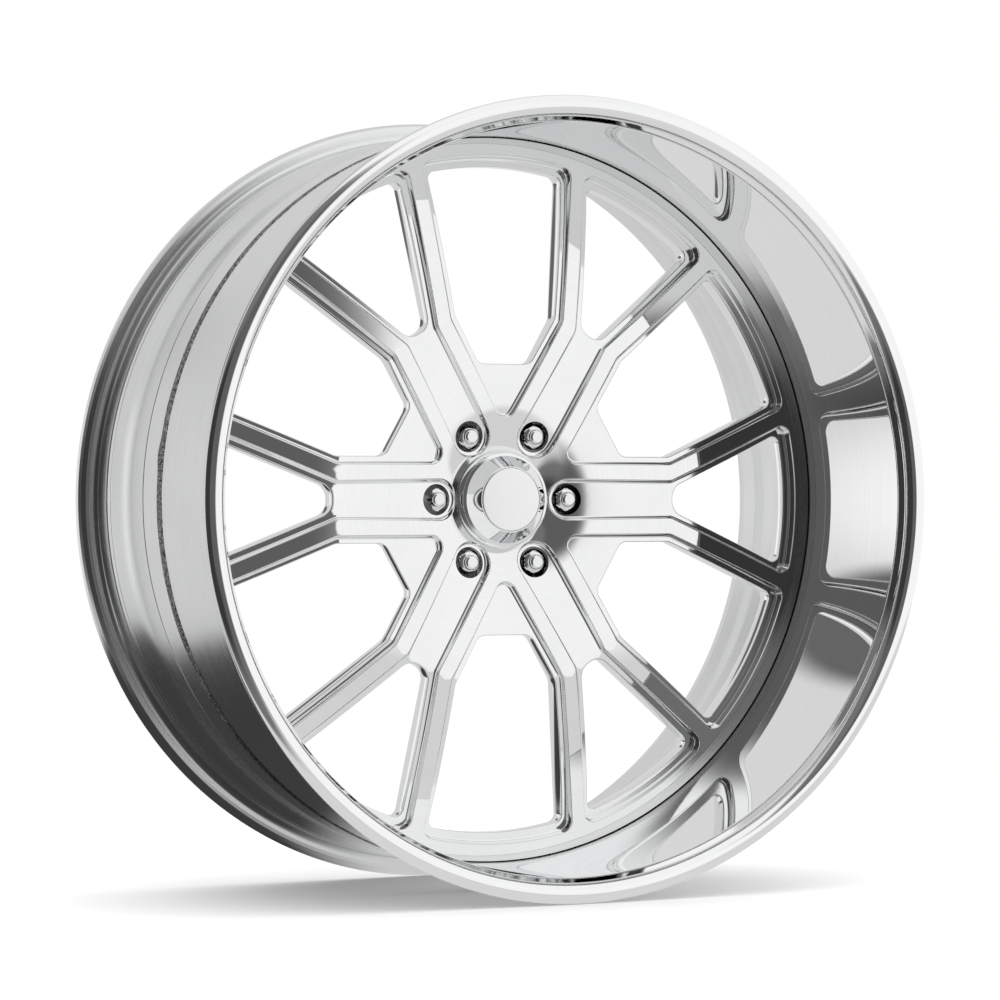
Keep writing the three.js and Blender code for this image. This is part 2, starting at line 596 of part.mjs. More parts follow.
function splitRing(inner, outer, opening, from, to) {
  const shape = new THREE.Shape();
  shape.absarc(0, 0, outer, opening / 2, 2 * Math.PI - opening / 2, false);
  shape.absarc(0, 0, inner, 2 * Math.PI - opening / 2, opening / 2, true);
  const geometry = new THREE.ExtrudeGeometry(shape, {
    depth: to - from, bevelEnabled: false, curveSegments: CAP_STEPS / 2,
  });
  geometry.rotateX(Math.PI / 2);
  geometry.translate(0, to, 0);
  return geometry;
}

const snapPlace = HUB_FACE + SNAP_RING_PLACE;
add('cap_snap_ring', splitRing(ringInner, ringOuter, SNAP_RING_OPENING,
  snapPlace - ringHalf, snapPlace + ringHalf), STEEL);

// ---------------------------------------------------------------- valve

const headFace = WELL_RADIUS + VALVE_GROMMET_HEIGHT + FIT;
const stemTip = WELL_BORE - VALVE_STEM_REACH;
const washerFace = WELL_BORE * Math.cos(Math.PI / TURN_STEPS) - FIT;   // clear of the bore's flats
const nutFace = washerFace - VALVE_WASHER_HEIGHT - FIT;
const nutBack = nutFace - VALVE_NUT_HEIGHT;
const stemFit = VALVE_STEM_RADIUS + FIT;
const coreTop = stemTip + VALVE_CORE_RECESS;
const coreEnd = coreTop + VALVE_CORE_LENGTH;
const coreRadius = VALVE_BORE_RADIUS - FIT;

add('valve_stem', valvePiece([
  [VALVE_BORE_RADIUS, stemTip],
  [VALVE_STEM_RADIUS, stemTip],
  [VALVE_STEM_RADIUS, headFace],
  [VALVE_HEAD_RADIUS, headFace],
  [VALVE_HEAD_RADIUS - VALVE_CAP_CHAMFER, headFace + VALVE_HEAD_HEIGHT],
  [VALVE_BORE_RADIUS, headFace + VALVE_HEAD_HEIGHT],
]), BRASS);

add('valve_grommet', valvePiece([
  [stemFit, WELL_BORE + FIT],
  [valveHoleRadius - FIT, WELL_BORE + FIT],
  [valveHoleRadius - FIT, WELL_RADIUS + FIT],
  [VALVE_HEAD_RADIUS, WELL_RADIUS + FIT],
  [VALVE_HEAD_RADIUS, headFace - FIT],
  [stemFit, headFace - FIT],
]), BLACK_RUBBER);

add('valve_washer', valvePiece([
  [stemFit, washerFace - VALVE_WASHER_HEIGHT],
  [VALVE_HEAD_RADIUS, washerFace - VALVE_WASHER_HEIGHT],
  [VALVE_HEAD_RADIUS, washerFace],
  [stemFit, washerFace],
]), STEEL);

function valveNut() {
  const bar = hexagonBar(VALVE_NUT_ACROSS_FLATS, nutBack, nutFace);
  bar.rotateZ(-Math.PI / 2);
  bar.applyMatrix4(valvePlace);
  const hole = valvePiece([
    [0, nutBack - THROUGH],
    [stemFit, nutBack - THROUGH],
    [stemFit, nutFace + THROUGH],
    [0, nutFace + THROUGH],
  ]);
  return toGeometry(toSolid(bar).subtract(toSolid(hole)));
}

add('valve_nut', valveNut(), STEEL);

add('valve_core', valvePiece([
  [VALVE_CORE_BORE, coreTop],
  [coreRadius, coreTop],
  [coreRadius, coreEnd],
  [VALVE_CORE_BORE, coreEnd],
]), BRASS);

add('valve_pin', valvePiece([
  [0, coreTop - VALVE_PIN_STANDOFF],
  [VALVE_PIN_RADIUS, coreTop - VALVE_PIN_STANDOFF],
  [VALVE_PIN_RADIUS, coreEnd + FIT],
  [coreRadius, coreEnd + FIT],
  [coreRadius, coreEnd + FIT + VALVE_PIN_COLLAR],
  [0, coreEnd + FIT + VALVE_PIN_COLLAR],
]), BRASS);

const capInside = stemTip - VALVE_PIN_STANDOFF;
add('valve_cap', valvePiece([
  [0, capInside - VALVE_CAP_WALL],
  [stemFit + VALVE_CAP_WALL - VALVE_CAP_CHAMFER, capInside - VALVE_CAP_WALL],
  [stemFit + VALVE_CAP_WALL, capInside - VALVE_CAP_WALL + VALVE_CAP_CHAMFER],
  [stemFit + VALVE_CAP_WALL, capInside + VALVE_CAP_LENGTH],
  [stemFit, capInside + VALVE_CAP_LENGTH],
  [stemFit, capInside],
  [0, capInside],
]), CHROMED);

export default root;
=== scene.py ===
"""A forged two-piece racing wheel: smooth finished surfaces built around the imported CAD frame."""

import math
import random

import bpy
import numpy as np
from mathutils import Matrix, Vector
from mathutils.geometry import delaunay_2d_cdt

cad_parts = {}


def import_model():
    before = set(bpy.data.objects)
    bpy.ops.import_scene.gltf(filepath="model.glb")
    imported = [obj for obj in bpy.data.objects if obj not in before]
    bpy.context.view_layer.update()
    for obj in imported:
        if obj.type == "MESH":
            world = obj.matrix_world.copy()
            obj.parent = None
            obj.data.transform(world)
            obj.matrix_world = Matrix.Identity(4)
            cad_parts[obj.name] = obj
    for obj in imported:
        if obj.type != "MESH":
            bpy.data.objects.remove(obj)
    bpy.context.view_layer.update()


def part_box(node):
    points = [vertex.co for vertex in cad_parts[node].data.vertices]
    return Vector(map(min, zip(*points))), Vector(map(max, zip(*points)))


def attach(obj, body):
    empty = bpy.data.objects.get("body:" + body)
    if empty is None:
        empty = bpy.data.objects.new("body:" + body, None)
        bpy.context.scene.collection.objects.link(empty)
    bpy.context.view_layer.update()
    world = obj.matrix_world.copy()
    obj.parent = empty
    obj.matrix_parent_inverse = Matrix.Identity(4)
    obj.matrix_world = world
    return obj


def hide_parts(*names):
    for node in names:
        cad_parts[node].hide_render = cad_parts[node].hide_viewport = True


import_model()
MM = 0.001
SEED = 11
TURN = 360                      # segments around a large turned surface
SMALL_TURN = 240                # and around the cap

# ---------------- sizes, in millimetres

SPOKES = 6
PITCH = math.tau / SPOKES
FLANGE_RADIUS = 375.5
FLANGE_CIRCLE = 163.8           # plane of the flange's largest circle
TYRE_FACE = 152.4
SEAT_RADIUS = 358.0
SEAT_INNER = 356.25
BORE_RADIUS = 350.8
CYLINDER_RADIUS = 354.5
WELL_RADIUS = 349.5
WALL = 4.0
LIP_EDGE = 356.1
BUTT = -1.0
CENTRE_RADIUS = 350.5
POCKET_RADIUS = 333.5
WINDOW_RADIUS = 323.0
RAIL_TURN = math.radians(22.2)
ELBOW = 179.0
POCKET_HALF = 18.9
POCKET_HALF_HUB = 20.8
RAIL = 14.4
LUG_CIRCLE = 69.85
LUG_BORE = 14.45
STUD_HOLE = 7.6
STUD_MOUTH = 8.6
HUB_FACE_RADIUS = 47.5
HUB_BORE = 39.05
PAD_PLANE = 44.0
PAD_RADIUS = 96.0
SKIRT_RADIUS = 128.0

# slope of the face and of the pocket floors, in degrees, against distance from the axis
FACE_SLOPES_IN = [(47.5, 26), (60, 17), (75, 9.5), (94, 4.5), (ELBOW, 0)]
FACE_SLOPES_OUT = [(ELBOW, -5), (215, -7), (334, -10.5), (351, -12)]
FACE_AT_ELBOW = -12.8
FLOOR_SLOPES_IN = [(47.5, 2), (58, 5), (70, 11), (94, 5), (ELBOW, 3)]
FLOOR_SLOPES_OUT = [(ELBOW, -6), (215, -7.5), (334, -14.5), (351, -14.5)]
FLOOR_AT_ELBOW = -8.8


# ---------------- height functions

def slope_curve(inward, outward, at_elbow):
    """Height and slope against radius, from slopes that change steadily between the given stations."""
    radii = np.linspace(30, 360, 3301)      # every 0.1 mm, over all that is asked for
    both = np.where(radii <= ELBOW,
                    np.interp(radii, *zip(*inward)),
                    np.interp(radii, *zip(*outward)))
    step = radii[1] - radii[0]
    heights = -np.concatenate([[0], np.cumsum(np.tan(np.radians(both[1:])) * step)])
    heights += at_elbow - np.interp(ELBOW, radii, heights)
    slopes = -np.tan(np.radians(both))
    return (lambda r: np.interp(r, radii, heights)), (lambda r: np.interp(r, radii, slopes))


face_height, face_slope = slope_curve(FACE_SLOPES_IN, FACE_SLOPES_OUT, FACE_AT_ELBOW)
floor_height, floor_slope = slope_curve(FLOOR_SLOPES_IN, FLOOR_SLOPES_OUT, FLOOR_AT_ELBOW)

SPOKE_BACK = 8.0
RING_BACK = 34.0
BACK = [(HUB_BORE, PAD_PLANE), (PAD_RADIUS, PAD_PLANE), (SKIRT_RADIUS, SPOKE_BACK), (ELBOW, SPOKE_BACK),
        (WINDOW_RADIUS, RING_BACK), (CENTRE_RADIUS, RING_BACK)]


# ---------------- outlines in the wheel's plane

def unit(v):
    return v / np.linalg.norm(v)


def radius_of(points):
    return np.linalg.norm(points, axis=1)


def half_angle(a, b):
    return math.acos(np.clip(np.dot(a, b), -1, 1)) / 2


OUTLINE_STEP = 5.0              # between points on straight stretches
CORNER_STEP = 7.5               # between points round a corner, in degrees
ARC_STEP = 17.0                 # between the corners that stand for the outer arc


def rounded(corners):
    """A closed outline with rounded corners, run anticlockwise: points, and normals pointing inward.
    Each corner is (u, v, radius)."""
    xy = np.array([c[:2] for c in corners], float)
    area = 0.5 * np.sum(xy[:, 0] * np.roll(xy[:, 1], -1) - np.roll(xy[:, 0], -1) * xy[:, 1])
    if area < 0:
        corners = corners[::-1]
        xy = xy[::-1]
    count = len(corners)
    pieces = []
    for i in range(count):
        p, r = xy[i], corners[i][2]
        before, after = unit(xy[i - 1] - p), unit(xy[(i + 1) % count] - p)
        if r <= 0:
            pieces.append((p, p, []))
            continue
        half = half_angle(before, after)
        centre = p + unit(before + after) * r / math.sin(half)
        start, end = p + before * r / math.tan(half), p + after * r / math.tan(half)
        turn = math.pi - 2 * half
        convex = np.cross(p - xy[i - 1], xy[(i + 1) % count] - p) > 0
        steps = max(3, math.ceil(math.degrees(turn) / CORNER_STEP))
        a0 = math.atan2(*(start - centre)[::-1])
        sign = 1 if convex else -1
        arc = []
        for k in range(steps + 1):
            a = a0 + sign * turn * k / steps
            out = np.array([math.cos(a), math.sin(a)])
            arc.append((centre + r * out, -out * sign))
        pieces.append((start, end, arc))
    points, normals = [], []
    for i in range(count):
        start, end, arc = pieces[i]
        nxt = pieces[(i + 1) % count][0]
        length = np.linalg.norm(nxt - end)
        along = (nxt - end) / max(length, 1e-9)
        inward = np.array([-along[1], along[0]])
        if arc:
            for p, n in arc:
                points.append(p)
                normals.append(n)
        else:
            previous = pieces[i - 1][1]
            back = unit(start - previous)
            points.append(start)
            normals.append(unit(inward + np.array([-back[1], back[0]])))
        steps = max(1, round(length / OUTLINE_STEP))
        for k in range(1, steps):
            points.append(end + along * length * k / steps)
            normals.append(inward)
    return np.array(points), np.array(normals)


def outer_end(start, direction, radius, corner):
    """The corner where a rail meets the outer arc, then points along the arc to the centre line."""
    b = np.dot(start, direction)
    reach = -b + math.sqrt(b * b - np.dot(start, start) + radius * radius)
    end = start + direction * reach
    angle = math.atan2(end[1], end[0])
    steps = max(3, round(angle * radius / ARC_STEP))
    found = [(end[0], end[1], corner)]
    for k in range(1, steps):
        a = angle * (1 - k / steps)
        found.append((radius * math.cos(a), radius * math.sin(a), 0))
    found.append((radius, 0, 0))
    return found


def mirrored(half):
    """The whole outline from its half above the centre line. A last point on the line is used once."""
    other = [(u, -v, r) for u, v, r in half if abs(v) > 1e-9]
    return list(half) + other[::-1]


def heading(angle):
    return np.array([math.cos(angle), math.sin(angle)])


def spoke_outline(half, radius, corner):
    """A pocket or window down a spoke: its corners as far as the elbow, then the rail and the outer arc."""
    elbow = np.array(half[-1][:2])
    return snap(rounded(mirrored(half + outer_end(elbow, heading(RAIL_TURN), radius, corner))), radius)


def gap_outline(offset, tip, radius, corner, elbow_radius):
    """A pocket or window between two spokes, set back from their rails by an offset."""
    half_pitch = PITCH / 2
    away = POCKET_HALF + RAIL + offset
    along = heading(half_pitch)
    side = np.array([along[1], -along[0]])
    elbow = along * ELBOW + side * away
    direction = heading(half_pitch - RAIL_TURN)
    tip_u, tip_radius = tip
    half = [(tip_u, (tip_u - away / math.sin(half_pitch)) * math.tan(half_pitch), tip_radius),
            (elbow[0], elbow[1], elbow_radius)]
    half += outer_end(elbow, direction, radius, corner)
    return snap(rounded(mirrored(half)), radius)


def snap(outline, radius):
    """Points on the chords of the outer arc are moved out onto the arc itself."""
    points, normals = outline
    r = radius_of(points)
    radial = points / r[:, None]
    on_arc = (r > radius - 0.25) & (np.sum(radial * normals, axis=1) < -0.985)
    points[on_arc] = radial[on_arc] * radius
    normals[on_arc] = -radial[on_arc]
    return points, normals


CUT_CLEAR = 0.2                 # no point is added this near to one that is there


def cut(outline, radius):
    """A point is added wherever an outline crosses a circle about the wheel's axis."""
    points, normals = outline
    reach = radius_of(points)
    found, new_normals = [], []
    for i in range(len(points)):
        k = (i + 1) % len(points)
        found.append(points[i])
        new_normals.append(normals[i])
        here, there = reach[i] - radius, reach[k] - radius
        if here * there < 0 and min(abs(here), abs(there)) > CUT_CLEAR:
            t = here / (here - there)
            crossing = points[i] + (points[k] - points[i]) * t
            found.append(crossing * radius / np.linalg.norm(crossing))
            new_normals.append(unit(normals[i] + (normals[k] - normals[i]) * t))
    return np.array(found), np.array(new_normals)


LEDGE = 7.5                     # pocket floor left around a window
TIP = (POCKET_HALF + RAIL) / math.sin(PITCH / 2)
SPOKE_POCKET = cut(spoke_outline([
    (LUG_CIRCLE - POCKET_HALF_HUB, POCKET_HALF_HUB, POCKET_HALF_HUB * 0.985),
    (ELBOW, POCKET_HALF, 14.0)], POCKET_RADIUS, 12.0), ELBOW)
GAP_POCKET = cut(gap_outline(0, (TIP, 12.0), POCKET_RADIUS, 12.0, 14.0), ELBOW)
WINDOW_START = 182.1
WINDOW_HALF = POCKET_HALF - LEDGE / math.cos(RAIL_TURN) + (WINDOW_START - ELBOW) * math.tan(RAIL_TURN)
SPOKE_WINDOW = spoke_outline([(WINDOW_START, WINDOW_HALF, 16.0)], WINDOW_RADIUS, 9.0)
GAP_WINDOW = cut(gap_outline(LEDGE, (130.0, 12.0), WINDOW_RADIUS, 9.0, 16.0), ELBOW)
ELBOW_RING = 540                # points of the crease around the elbows


def circle(radius, steps, centre=(0, 0)):
    """Evenly spaced points round a circle."""
    a = np.arange(steps) * math.tau / steps
    return np.stack([np.cos(a), np.sin(a)], 1) * radius + np.array(centre)


def inside(points, polygon):
    """Which points lie inside a closed outline."""
    x, y = points[:, 0], points[:, 1]
    found = np.zeros(len(points), bool)
    px, py = polygon[:, 0], polygon[:, 1]
    qx, qy = np.roll(px, -1), np.roll(py, -1)
    for x0, y0, x1, y1 in zip(px, py, qx, qy):
        crosses = (y0 > y) != (y1 > y)
        if crosses.any():
            at = x0 + (y - y0) * (x1 - x0) / (y1 - y0 + 1e-30)
            found ^= crosses & (x < at)
    return found


def away_from(points, outline, distance):
    """Which points keep their distance from an outline's points, in blocks to save memory."""
    keep = np.ones(len(points), bool)
    size = 512
    for start in range(0, len(points), size):
        block = points[start:start + size]
        d = np.min(np.linalg.norm(block[:, None] - outline[None], axis=2), axis=1)
        keep[start:start + size] = d > distance
    return keep


# How the points that fill() adds stand, as shares of its spacing.
ROW_STEP = 0.866                # between rows, for near equal triangles
GRID_CLEAR, RING_CLEAR = 0.55, 0.15     # from the outlines, for points of the grid and of a ring
GRID_TO_RING = 0.6


def fill(outer, holes, spacing, rings):
    """Triangles between an outline and its holes, on a grid of points; rings of points keep a crease round.
    The outlines' points come first in what is returned, in the order given."""
    loops = [outer] + list(holes)

    def kept(points, clear):
        points = points[inside(points, outer)]
        for hole in holes:
            points = points[~inside(points, hole)]
        for loop in loops:
            points = points[away_from(points, loop, clear)]
        return points

    low, high = outer.min(0), outer.max(0)
    rows = []
    for j, y in enumerate(np.arange(low[1], high[1], spacing * ROW_STEP)):
        xs = np.arange(low[0] + (j % 2) * spacing / 2, high[0], spacing)
        rows.append(np.stack([xs, np.full_like(xs, y)], 1))
    grid = np.concatenate(rows)
    for ring in rings:
        grid = grid[away_from(grid, ring, spacing * GRID_TO_RING)]
    extra = [kept(ring, spacing * RING_CLEAR) for ring in rings]
    verts = np.concatenate(loops + extra + [kept(grid, spacing * GRID_CLEAR)])
    edges, base = [], 0
    for ring in loops:
        n = len(ring)
        edges += [(base + i, base + (i + 1) % n) for i in range(n)]
        base += n
    out = delaunay_2d_cdt([Vector(v) for v in verts], edges, [], 0, 1e-5)
    flat = np.array([v[:] for v in out[0]])
    tris = np.array([f for f in out[2] if len(f) == 3])
    middle = flat[tris].mean(1)
    keep = inside(middle, outer)
    for hole in holes:
        keep &= ~inside(middle, hole)
    return flat, tris[keep]


# ---------------- mesh building

class Builder:
    """Collects vertices in millimetres, and faces with a material number each."""

    def __init__(self):
        self.verts, self.faces, self.slots = [], [], []

    def points(self, plane, heights):
        base = len(self.verts)
        self.verts += [(x, y, z) for (x, z), y in zip(plane, heights)]
        return np.arange(base, base + len(plane))

    def face(self, ids, slot):
        self.faces.append(tuple(int(i) for i in ids))
        self.slots.append(slot)

    def ring(self, plane, heights, previous, slot, flip=False):
        """Adds a ring of points and joins it to the ring before it."""
        ids = self.points(plane, np.broadcast_to(heights, len(plane)))
        count = len(ids)
        for i in range(count):
            j = (i + 1) % count
            corners = (previous[i], previous[j], ids[j], ids[i])
            self.face(corners[::-1] if flip else corners, slot)
        return ids


HOLD = 0.5                      # from a corner to the points that hold it


def held(section):
    """Extra points beside each corner keep the long straight stretches straight under smooth shading."""
    found = []
    count = len(section)
    for i in range(count):
        corner = np.array(section[i], float)
        before = np.array(section[i - 1], float)
        after = np.array(section[(i + 1) % count], float)
        if np.linalg.norm(before - corner) > 4 * HOLD:
            found.append(tuple(corner + unit(before - corner) * HOLD))
        found.append(tuple(corner))
        if np.linalg.norm(after - corner) > 4 * HOLD:
            found.append(tuple(corner + unit(after - corner) * HOLD))
    return found


def turned(section, steps=TURN):
    """A closed section of (radius, place) turned about an axis: vertices, and faces row by row."""
    a = np.arange(steps) * math.tau / steps
    count = len(section)
    verts, index = [], np.zeros((count, steps), int)
    for i, (r, y) in enumerate(section):
        if r == 0:
            index[i] = len(verts)
            verts.append((0.0, y, 0.0))
        else:
            index[i] = np.arange(len(verts), len(verts) + steps)
            verts += [(r * c, y, r * s) for c, s in zip(np.cos(a), np.sin(a))]
    faces = []
    for i in range(count):
        k = (i + 1) % count
        if section[i][0] == section[k][0] == 0:
            continue
        for j in range(steps):
            m = (j + 1) % steps
            corners = (index[i][j], index[i][m], index[k][m], index[k][j])
            faces.append(tuple(dict.fromkeys(int(v) for v in corners)))
    return verts, faces


CORNER_SHARE = 0.49             # of the stretch on either side, the most that a rounded corner takes


def fillet(section, detail):
    """Rounds the corners of a section given as (radius, place, corner radius)."""
    found = []
    count = len(section)
    pts = [np.array(p[:2], float) for p in section]
    for i, item in enumerate(section):
        r = item[2] if len(item) > 2 else 0
        if r <= 0:
            found.append(tuple(pts[i]))
            continue
        before, after = unit(pts[i - 1] - pts[i]), unit(pts[(i + 1) % count] - pts[i])
        half = half_angle(before, after)
        tangent = r / math.tan(half)
        room = CORNER_SHARE * min(np.linalg.norm(pts[i - 1] - pts[i]),
                                  np.linalg.norm(pts[(i + 1) % count] - pts[i]))
        if tangent > room:
            r, tangent = r * room / tangent, room
        centre = pts[i] + unit(before + after) * r / math.sin(half)
        a0 = math.atan2(*(pts[i] + before * tangent - centre)[::-1])
        a1 = math.atan2(*(pts[i] + after * tangent - centre)[::-1])
        turn = (a1 - a0 + math.pi) % math.tau - math.pi
        for k in range(detail + 1):
            a = a0 + turn * k / detail
            found.append((centre[0] + r * math.cos(a), centre[1] + r * math.sin(a)))
    return found


def make_object(name, verts, faces, materials, slots=None, sharp=35.0):
    """A smooth-shaded mesh from millimetres, with sharp edges where faces meet at more than an angle."""
    mesh = bpy.data.meshes.new(name)
    mesh.from_pydata([(x * MM, y * MM, z * MM) for x, y, z in verts], [], faces)
    mesh.validate()
    for material in materials:
        mesh.materials.append(material)
    if slots is not None:
        mesh.polygons.foreach_set("material_index", np.array(slots, np.int32))
    mesh.polygons.foreach_set("use_smooth", np.ones(len(mesh.polygons), bool))
    mesh.set_sharp_from_angle(angle=math.radians(sharp))
    mesh.update()
    face_outward(mesh)
    return add_object(name, mesh)


def add_object(name, data):
    obj = bpy.data.objects.new(name, data)
    bpy.context.scene.collection.objects.link(obj)
    return obj


def read(items, attribute, kind, width=1):
    """One attribute of all a mesh's vertices, corners or faces: a number, or a row of numbers, for each."""
    values = np.zeros(len(items) * width, kind)
    items.foreach_get(attribute, values)
    return values.reshape(-1, width) if width > 1 else values


def face_outward(mesh):
    """Turns the faces the right way out when the mesh's signed volume says they point in."""
    mesh.calc_loop_triangles()
    co = read(mesh.vertices, "co", np.float32, 3).astype(float)
    tri = read(mesh.loop_triangles, "vertices", np.int32, 3)
    volume = np.einsum("ij,ij->i", co[tri[:, 0]], np.cross(co[tri[:, 1]], co[tri[:, 2]])).sum()
    if volume < 0:
        mesh.flip_normals()


def place(obj, body, node):
    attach(obj, body)
    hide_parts(node)


# ---------------- materials

def new_material(name):
    material = bpy.data.materials.new(name)
    material.use_nodes = True
    tree = material.node_tree
    return material, tree, tree.nodes["Principled BSDF"]


def link(tree, a, b):
    tree.links.new(a, b)


def feed(tree, socket, value):
    """A number is set on the socket itself, and anything else is linked to it."""
    if isinstance(value, (int, float)):
        socket.default_value = value
    else:
        link(tree, value, socket)


def math_node(tree, kind, *values):
    node = tree.nodes.new("ShaderNodeMath")
    node.operation = kind
    for socket, value in zip(node.inputs, values):
        feed(tree, socket, value)
    return node.outputs[0]


def root_of_squares(tree, a, b):
    squares = [math_node(tree, "MULTIPLY", v, v) for v in (a, b)]
    return math_node(tree, "SQRT", math_node(tree, "ADD", *squares))


def noise(tree, vector, scale, detail=3.0, rough=0.55):
    node = tree.nodes.new("ShaderNodeTexNoise")
    node.inputs["Scale"].default_value = scale
    node.inputs["Detail"].default_value = detail
    node.inputs["Roughness"].default_value = rough
    link(tree, vector, node.inputs["Vector"])
    return node.outputs["Fac"]


def map_range(tree, value, at, to, kind="LINEAR"):
    node = tree.nodes.new("ShaderNodeMapRange")
    node.interpolation_type = kind
    for name, number in zip(("From Min", "From Max", "To Min", "To Max"), (*at, *to)):
        node.inputs[name].default_value = number
    link(tree, value, node.inputs["Value"])
    return node.outputs["Result"]


def ramp(tree, fac, low, high, at=(0.35, 0.65)):
    return map_range(tree, fac, at, (low, high))


def smooth_step(tree, value, low, high):
    return map_range(tree, value, (low, high), (0, 1), "SMOOTHSTEP")


LINES_AROUND, LINES_ACROSS = 1.2, 900


def wheel_coordinates(tree):
    """Angle, radius and place along the axis, scaled so that noise becomes fine lines around the wheel."""
    split = tree.nodes.new("ShaderNodeSeparateXYZ")
    link(tree, object_coordinates(tree), split.inputs[0])
    x, y, z = split.outputs
    radius = root_of_squares(tree, x, z)
    angle = math_node(tree, "ARCTAN2", z, x)
    join = tree.nodes.new("ShaderNodeCombineXYZ")
    link(tree, math_node(tree, "MULTIPLY", angle, LINES_AROUND), join.inputs[0])
    link(tree, math_node(tree, "MULTIPLY", radius, LINES_ACROSS), join.inputs[1])
    link(tree, math_node(tree, "MULTIPLY", y, LINES_ACROSS), join.inputs[2])
    return join.outputs[0]


def object_coordinates(tree):
    return tree.nodes.new("ShaderNodeTexCoord").outputs["Object"]


def bump(tree, shader, height, distance):
    node = tree.nodes.new("ShaderNodeBump")
    node.inputs["Strength"].default_value = 1.0
    node.inputs["Distance"].default_value = distance
    link(tree, height, node.inputs["Height"])
    link(tree, node.outputs[0], shader.inputs["Normal"])


def tinted(tree, shader, fac, dark, light):
    mix = tree.nodes.new("ShaderNodeMix")
    mix.data_type = "RGBA"
    mix.inputs["A"].default_value = (*dark, 1)
    mix.inputs["B"].default_value = (*light, 1)
    link(tree, fac, mix.inputs["Factor"])
    link(tree, mix.outputs["Result"], shader.inputs["Base Color"])


def weighed(tree, a, share_a, b, share_b):
    return math_node(tree, "ADD", math_node(tree, "MULTIPLY", a, share_a),
                     math_node(tree, "MULTIPLY", b, share_b))


def metal(name, dark, light, rough, streak, grain, speck=0.0):
    """Turned or polished metal: fine lines around the wheel, cloudy variation and a fine grain.
    Streak is the share of the lines, grain the height of the marks in metres, speck what the grain adds."""
    material, tree, shader = new_material(name)
    shader.inputs["Metallic"].default_value = 1.0
    lines = noise(tree, wheel_coordinates(tree), 1.0, 4.0, 0.6)
    cloud = noise(tree, object_coordinates(tree), 14.0, 3.0)
    fine = noise(tree, object_coordinates(tree), 900.0, 2.0)
    mixed = weighed(tree, lines, streak, cloud, 1 - streak)
    tinted(tree, shader, ramp(tree, mixed, 0, 1, (0.3, 0.7)), dark, light)
    link(tree, ramp(tree, mixed, *rough), shader.inputs["Roughness"])
    bump(tree, shader, weighed(tree, lines, streak, fine, 0.3 + speck), grain)
    return material


POLISHED = metal("polished_forging", (0.83, 0.835, 0.84), (0.91, 0.912, 0.915), (0.015, 0.045), 0.6, 1.5e-6)
LIP = metal("polished_lip", (0.87, 0.875, 0.88), (0.94, 0.942, 0.945), (0.01, 0.03), 0.8, 1.5e-6)
SATIN = metal("satin_floor", (0.84, 0.845, 0.85), (0.92, 0.922, 0.925), (0.05, 0.1), 0.5, 3e-6)
BADGE = metal("satin_disc", (0.86, 0.865, 0.87), (0.92, 0.922, 0.925), (0.20, 0.26), 0.2, 4e-6)
SPUN = metal("spun_barrel", (0.74, 0.745, 0.75), (0.86, 0.865, 0.87), (0.18, 0.28), 0.7, 1e-5, 0.3)
BACKSIDE = metal("machined_back", (0.72, 0.725, 0.73), (0.84, 0.845, 0.85), (0.16, 0.28), 0.8, 1e-5)
CHROME = metal("chrome_nut", (0.78, 0.785, 0.79), (0.86, 0.865, 0.87), (0.02, 0.05), 0.2, 2e-6)
SOCKET = metal("bored_socket", (0.10, 0.10, 0.105), (0.24, 0.24, 0.245), (0.15, 0.25), 0.6, 3e-6)
ZINC = metal("zinc_steel", (0.45, 0.46, 0.48), (0.60, 0.61, 0.63), (0.25, 0.4), 0.3, 3e-5)
BRASS = metal("machined_brass", (0.55, 0.42, 0.20), (0.75, 0.60, 0.32), (0.2, 0.34), 0.3, 3e-5)
NICKEL = metal("nickel_stem", (0.58, 0.57, 0.54), (0.72, 0.71, 0.68), (0.15, 0.28), 0.3, 2e-5)


def rubber_material():
    """Dull black rubber with a cloudy, faintly pitted skin."""
    material, tree, shader = new_material("moulded_rubber")
    cloud = noise(tree, object_coordinates(tree), 300.0, 4.0)
    tinted(tree, shader, cloud, (0.012, 0.012, 0.012), (0.035, 0.035, 0.036))
    link(tree, ramp(tree, cloud, 0.55, 0.85), shader.inputs["Roughness"])
    bump(tree, shader, noise(tree, object_coordinates(tree), 2500.0, 2.0), 0.00005)
    return material


def weld_material():
    """Dark oxidised bead metal, grainy at the scale of its ripples."""
    material, tree, shader = new_material("weld_metal")
    shader.inputs["Metallic"].default_value = 1.0
    grain = noise(tree, object_coordinates(tree), 420.0, 3.0, 0.6)
    tinted(tree, shader, ramp(tree, grain, 0, 1, (0.42, 0.66)), (0.03, 0.03, 0.032), (0.50, 0.50, 0.505))
    link(tree, ramp(tree, grain, 0.5, 0.25), shader.inputs["Roughness"])
    bump(tree, shader, grain, 0.0012)
    return material


RUBBER = rubber_material()
WELD = weld_material()


# ---------------- rim

FLANGE_FOOT = 3.8               # from the flange's largest circle in to where the lip's flare ends


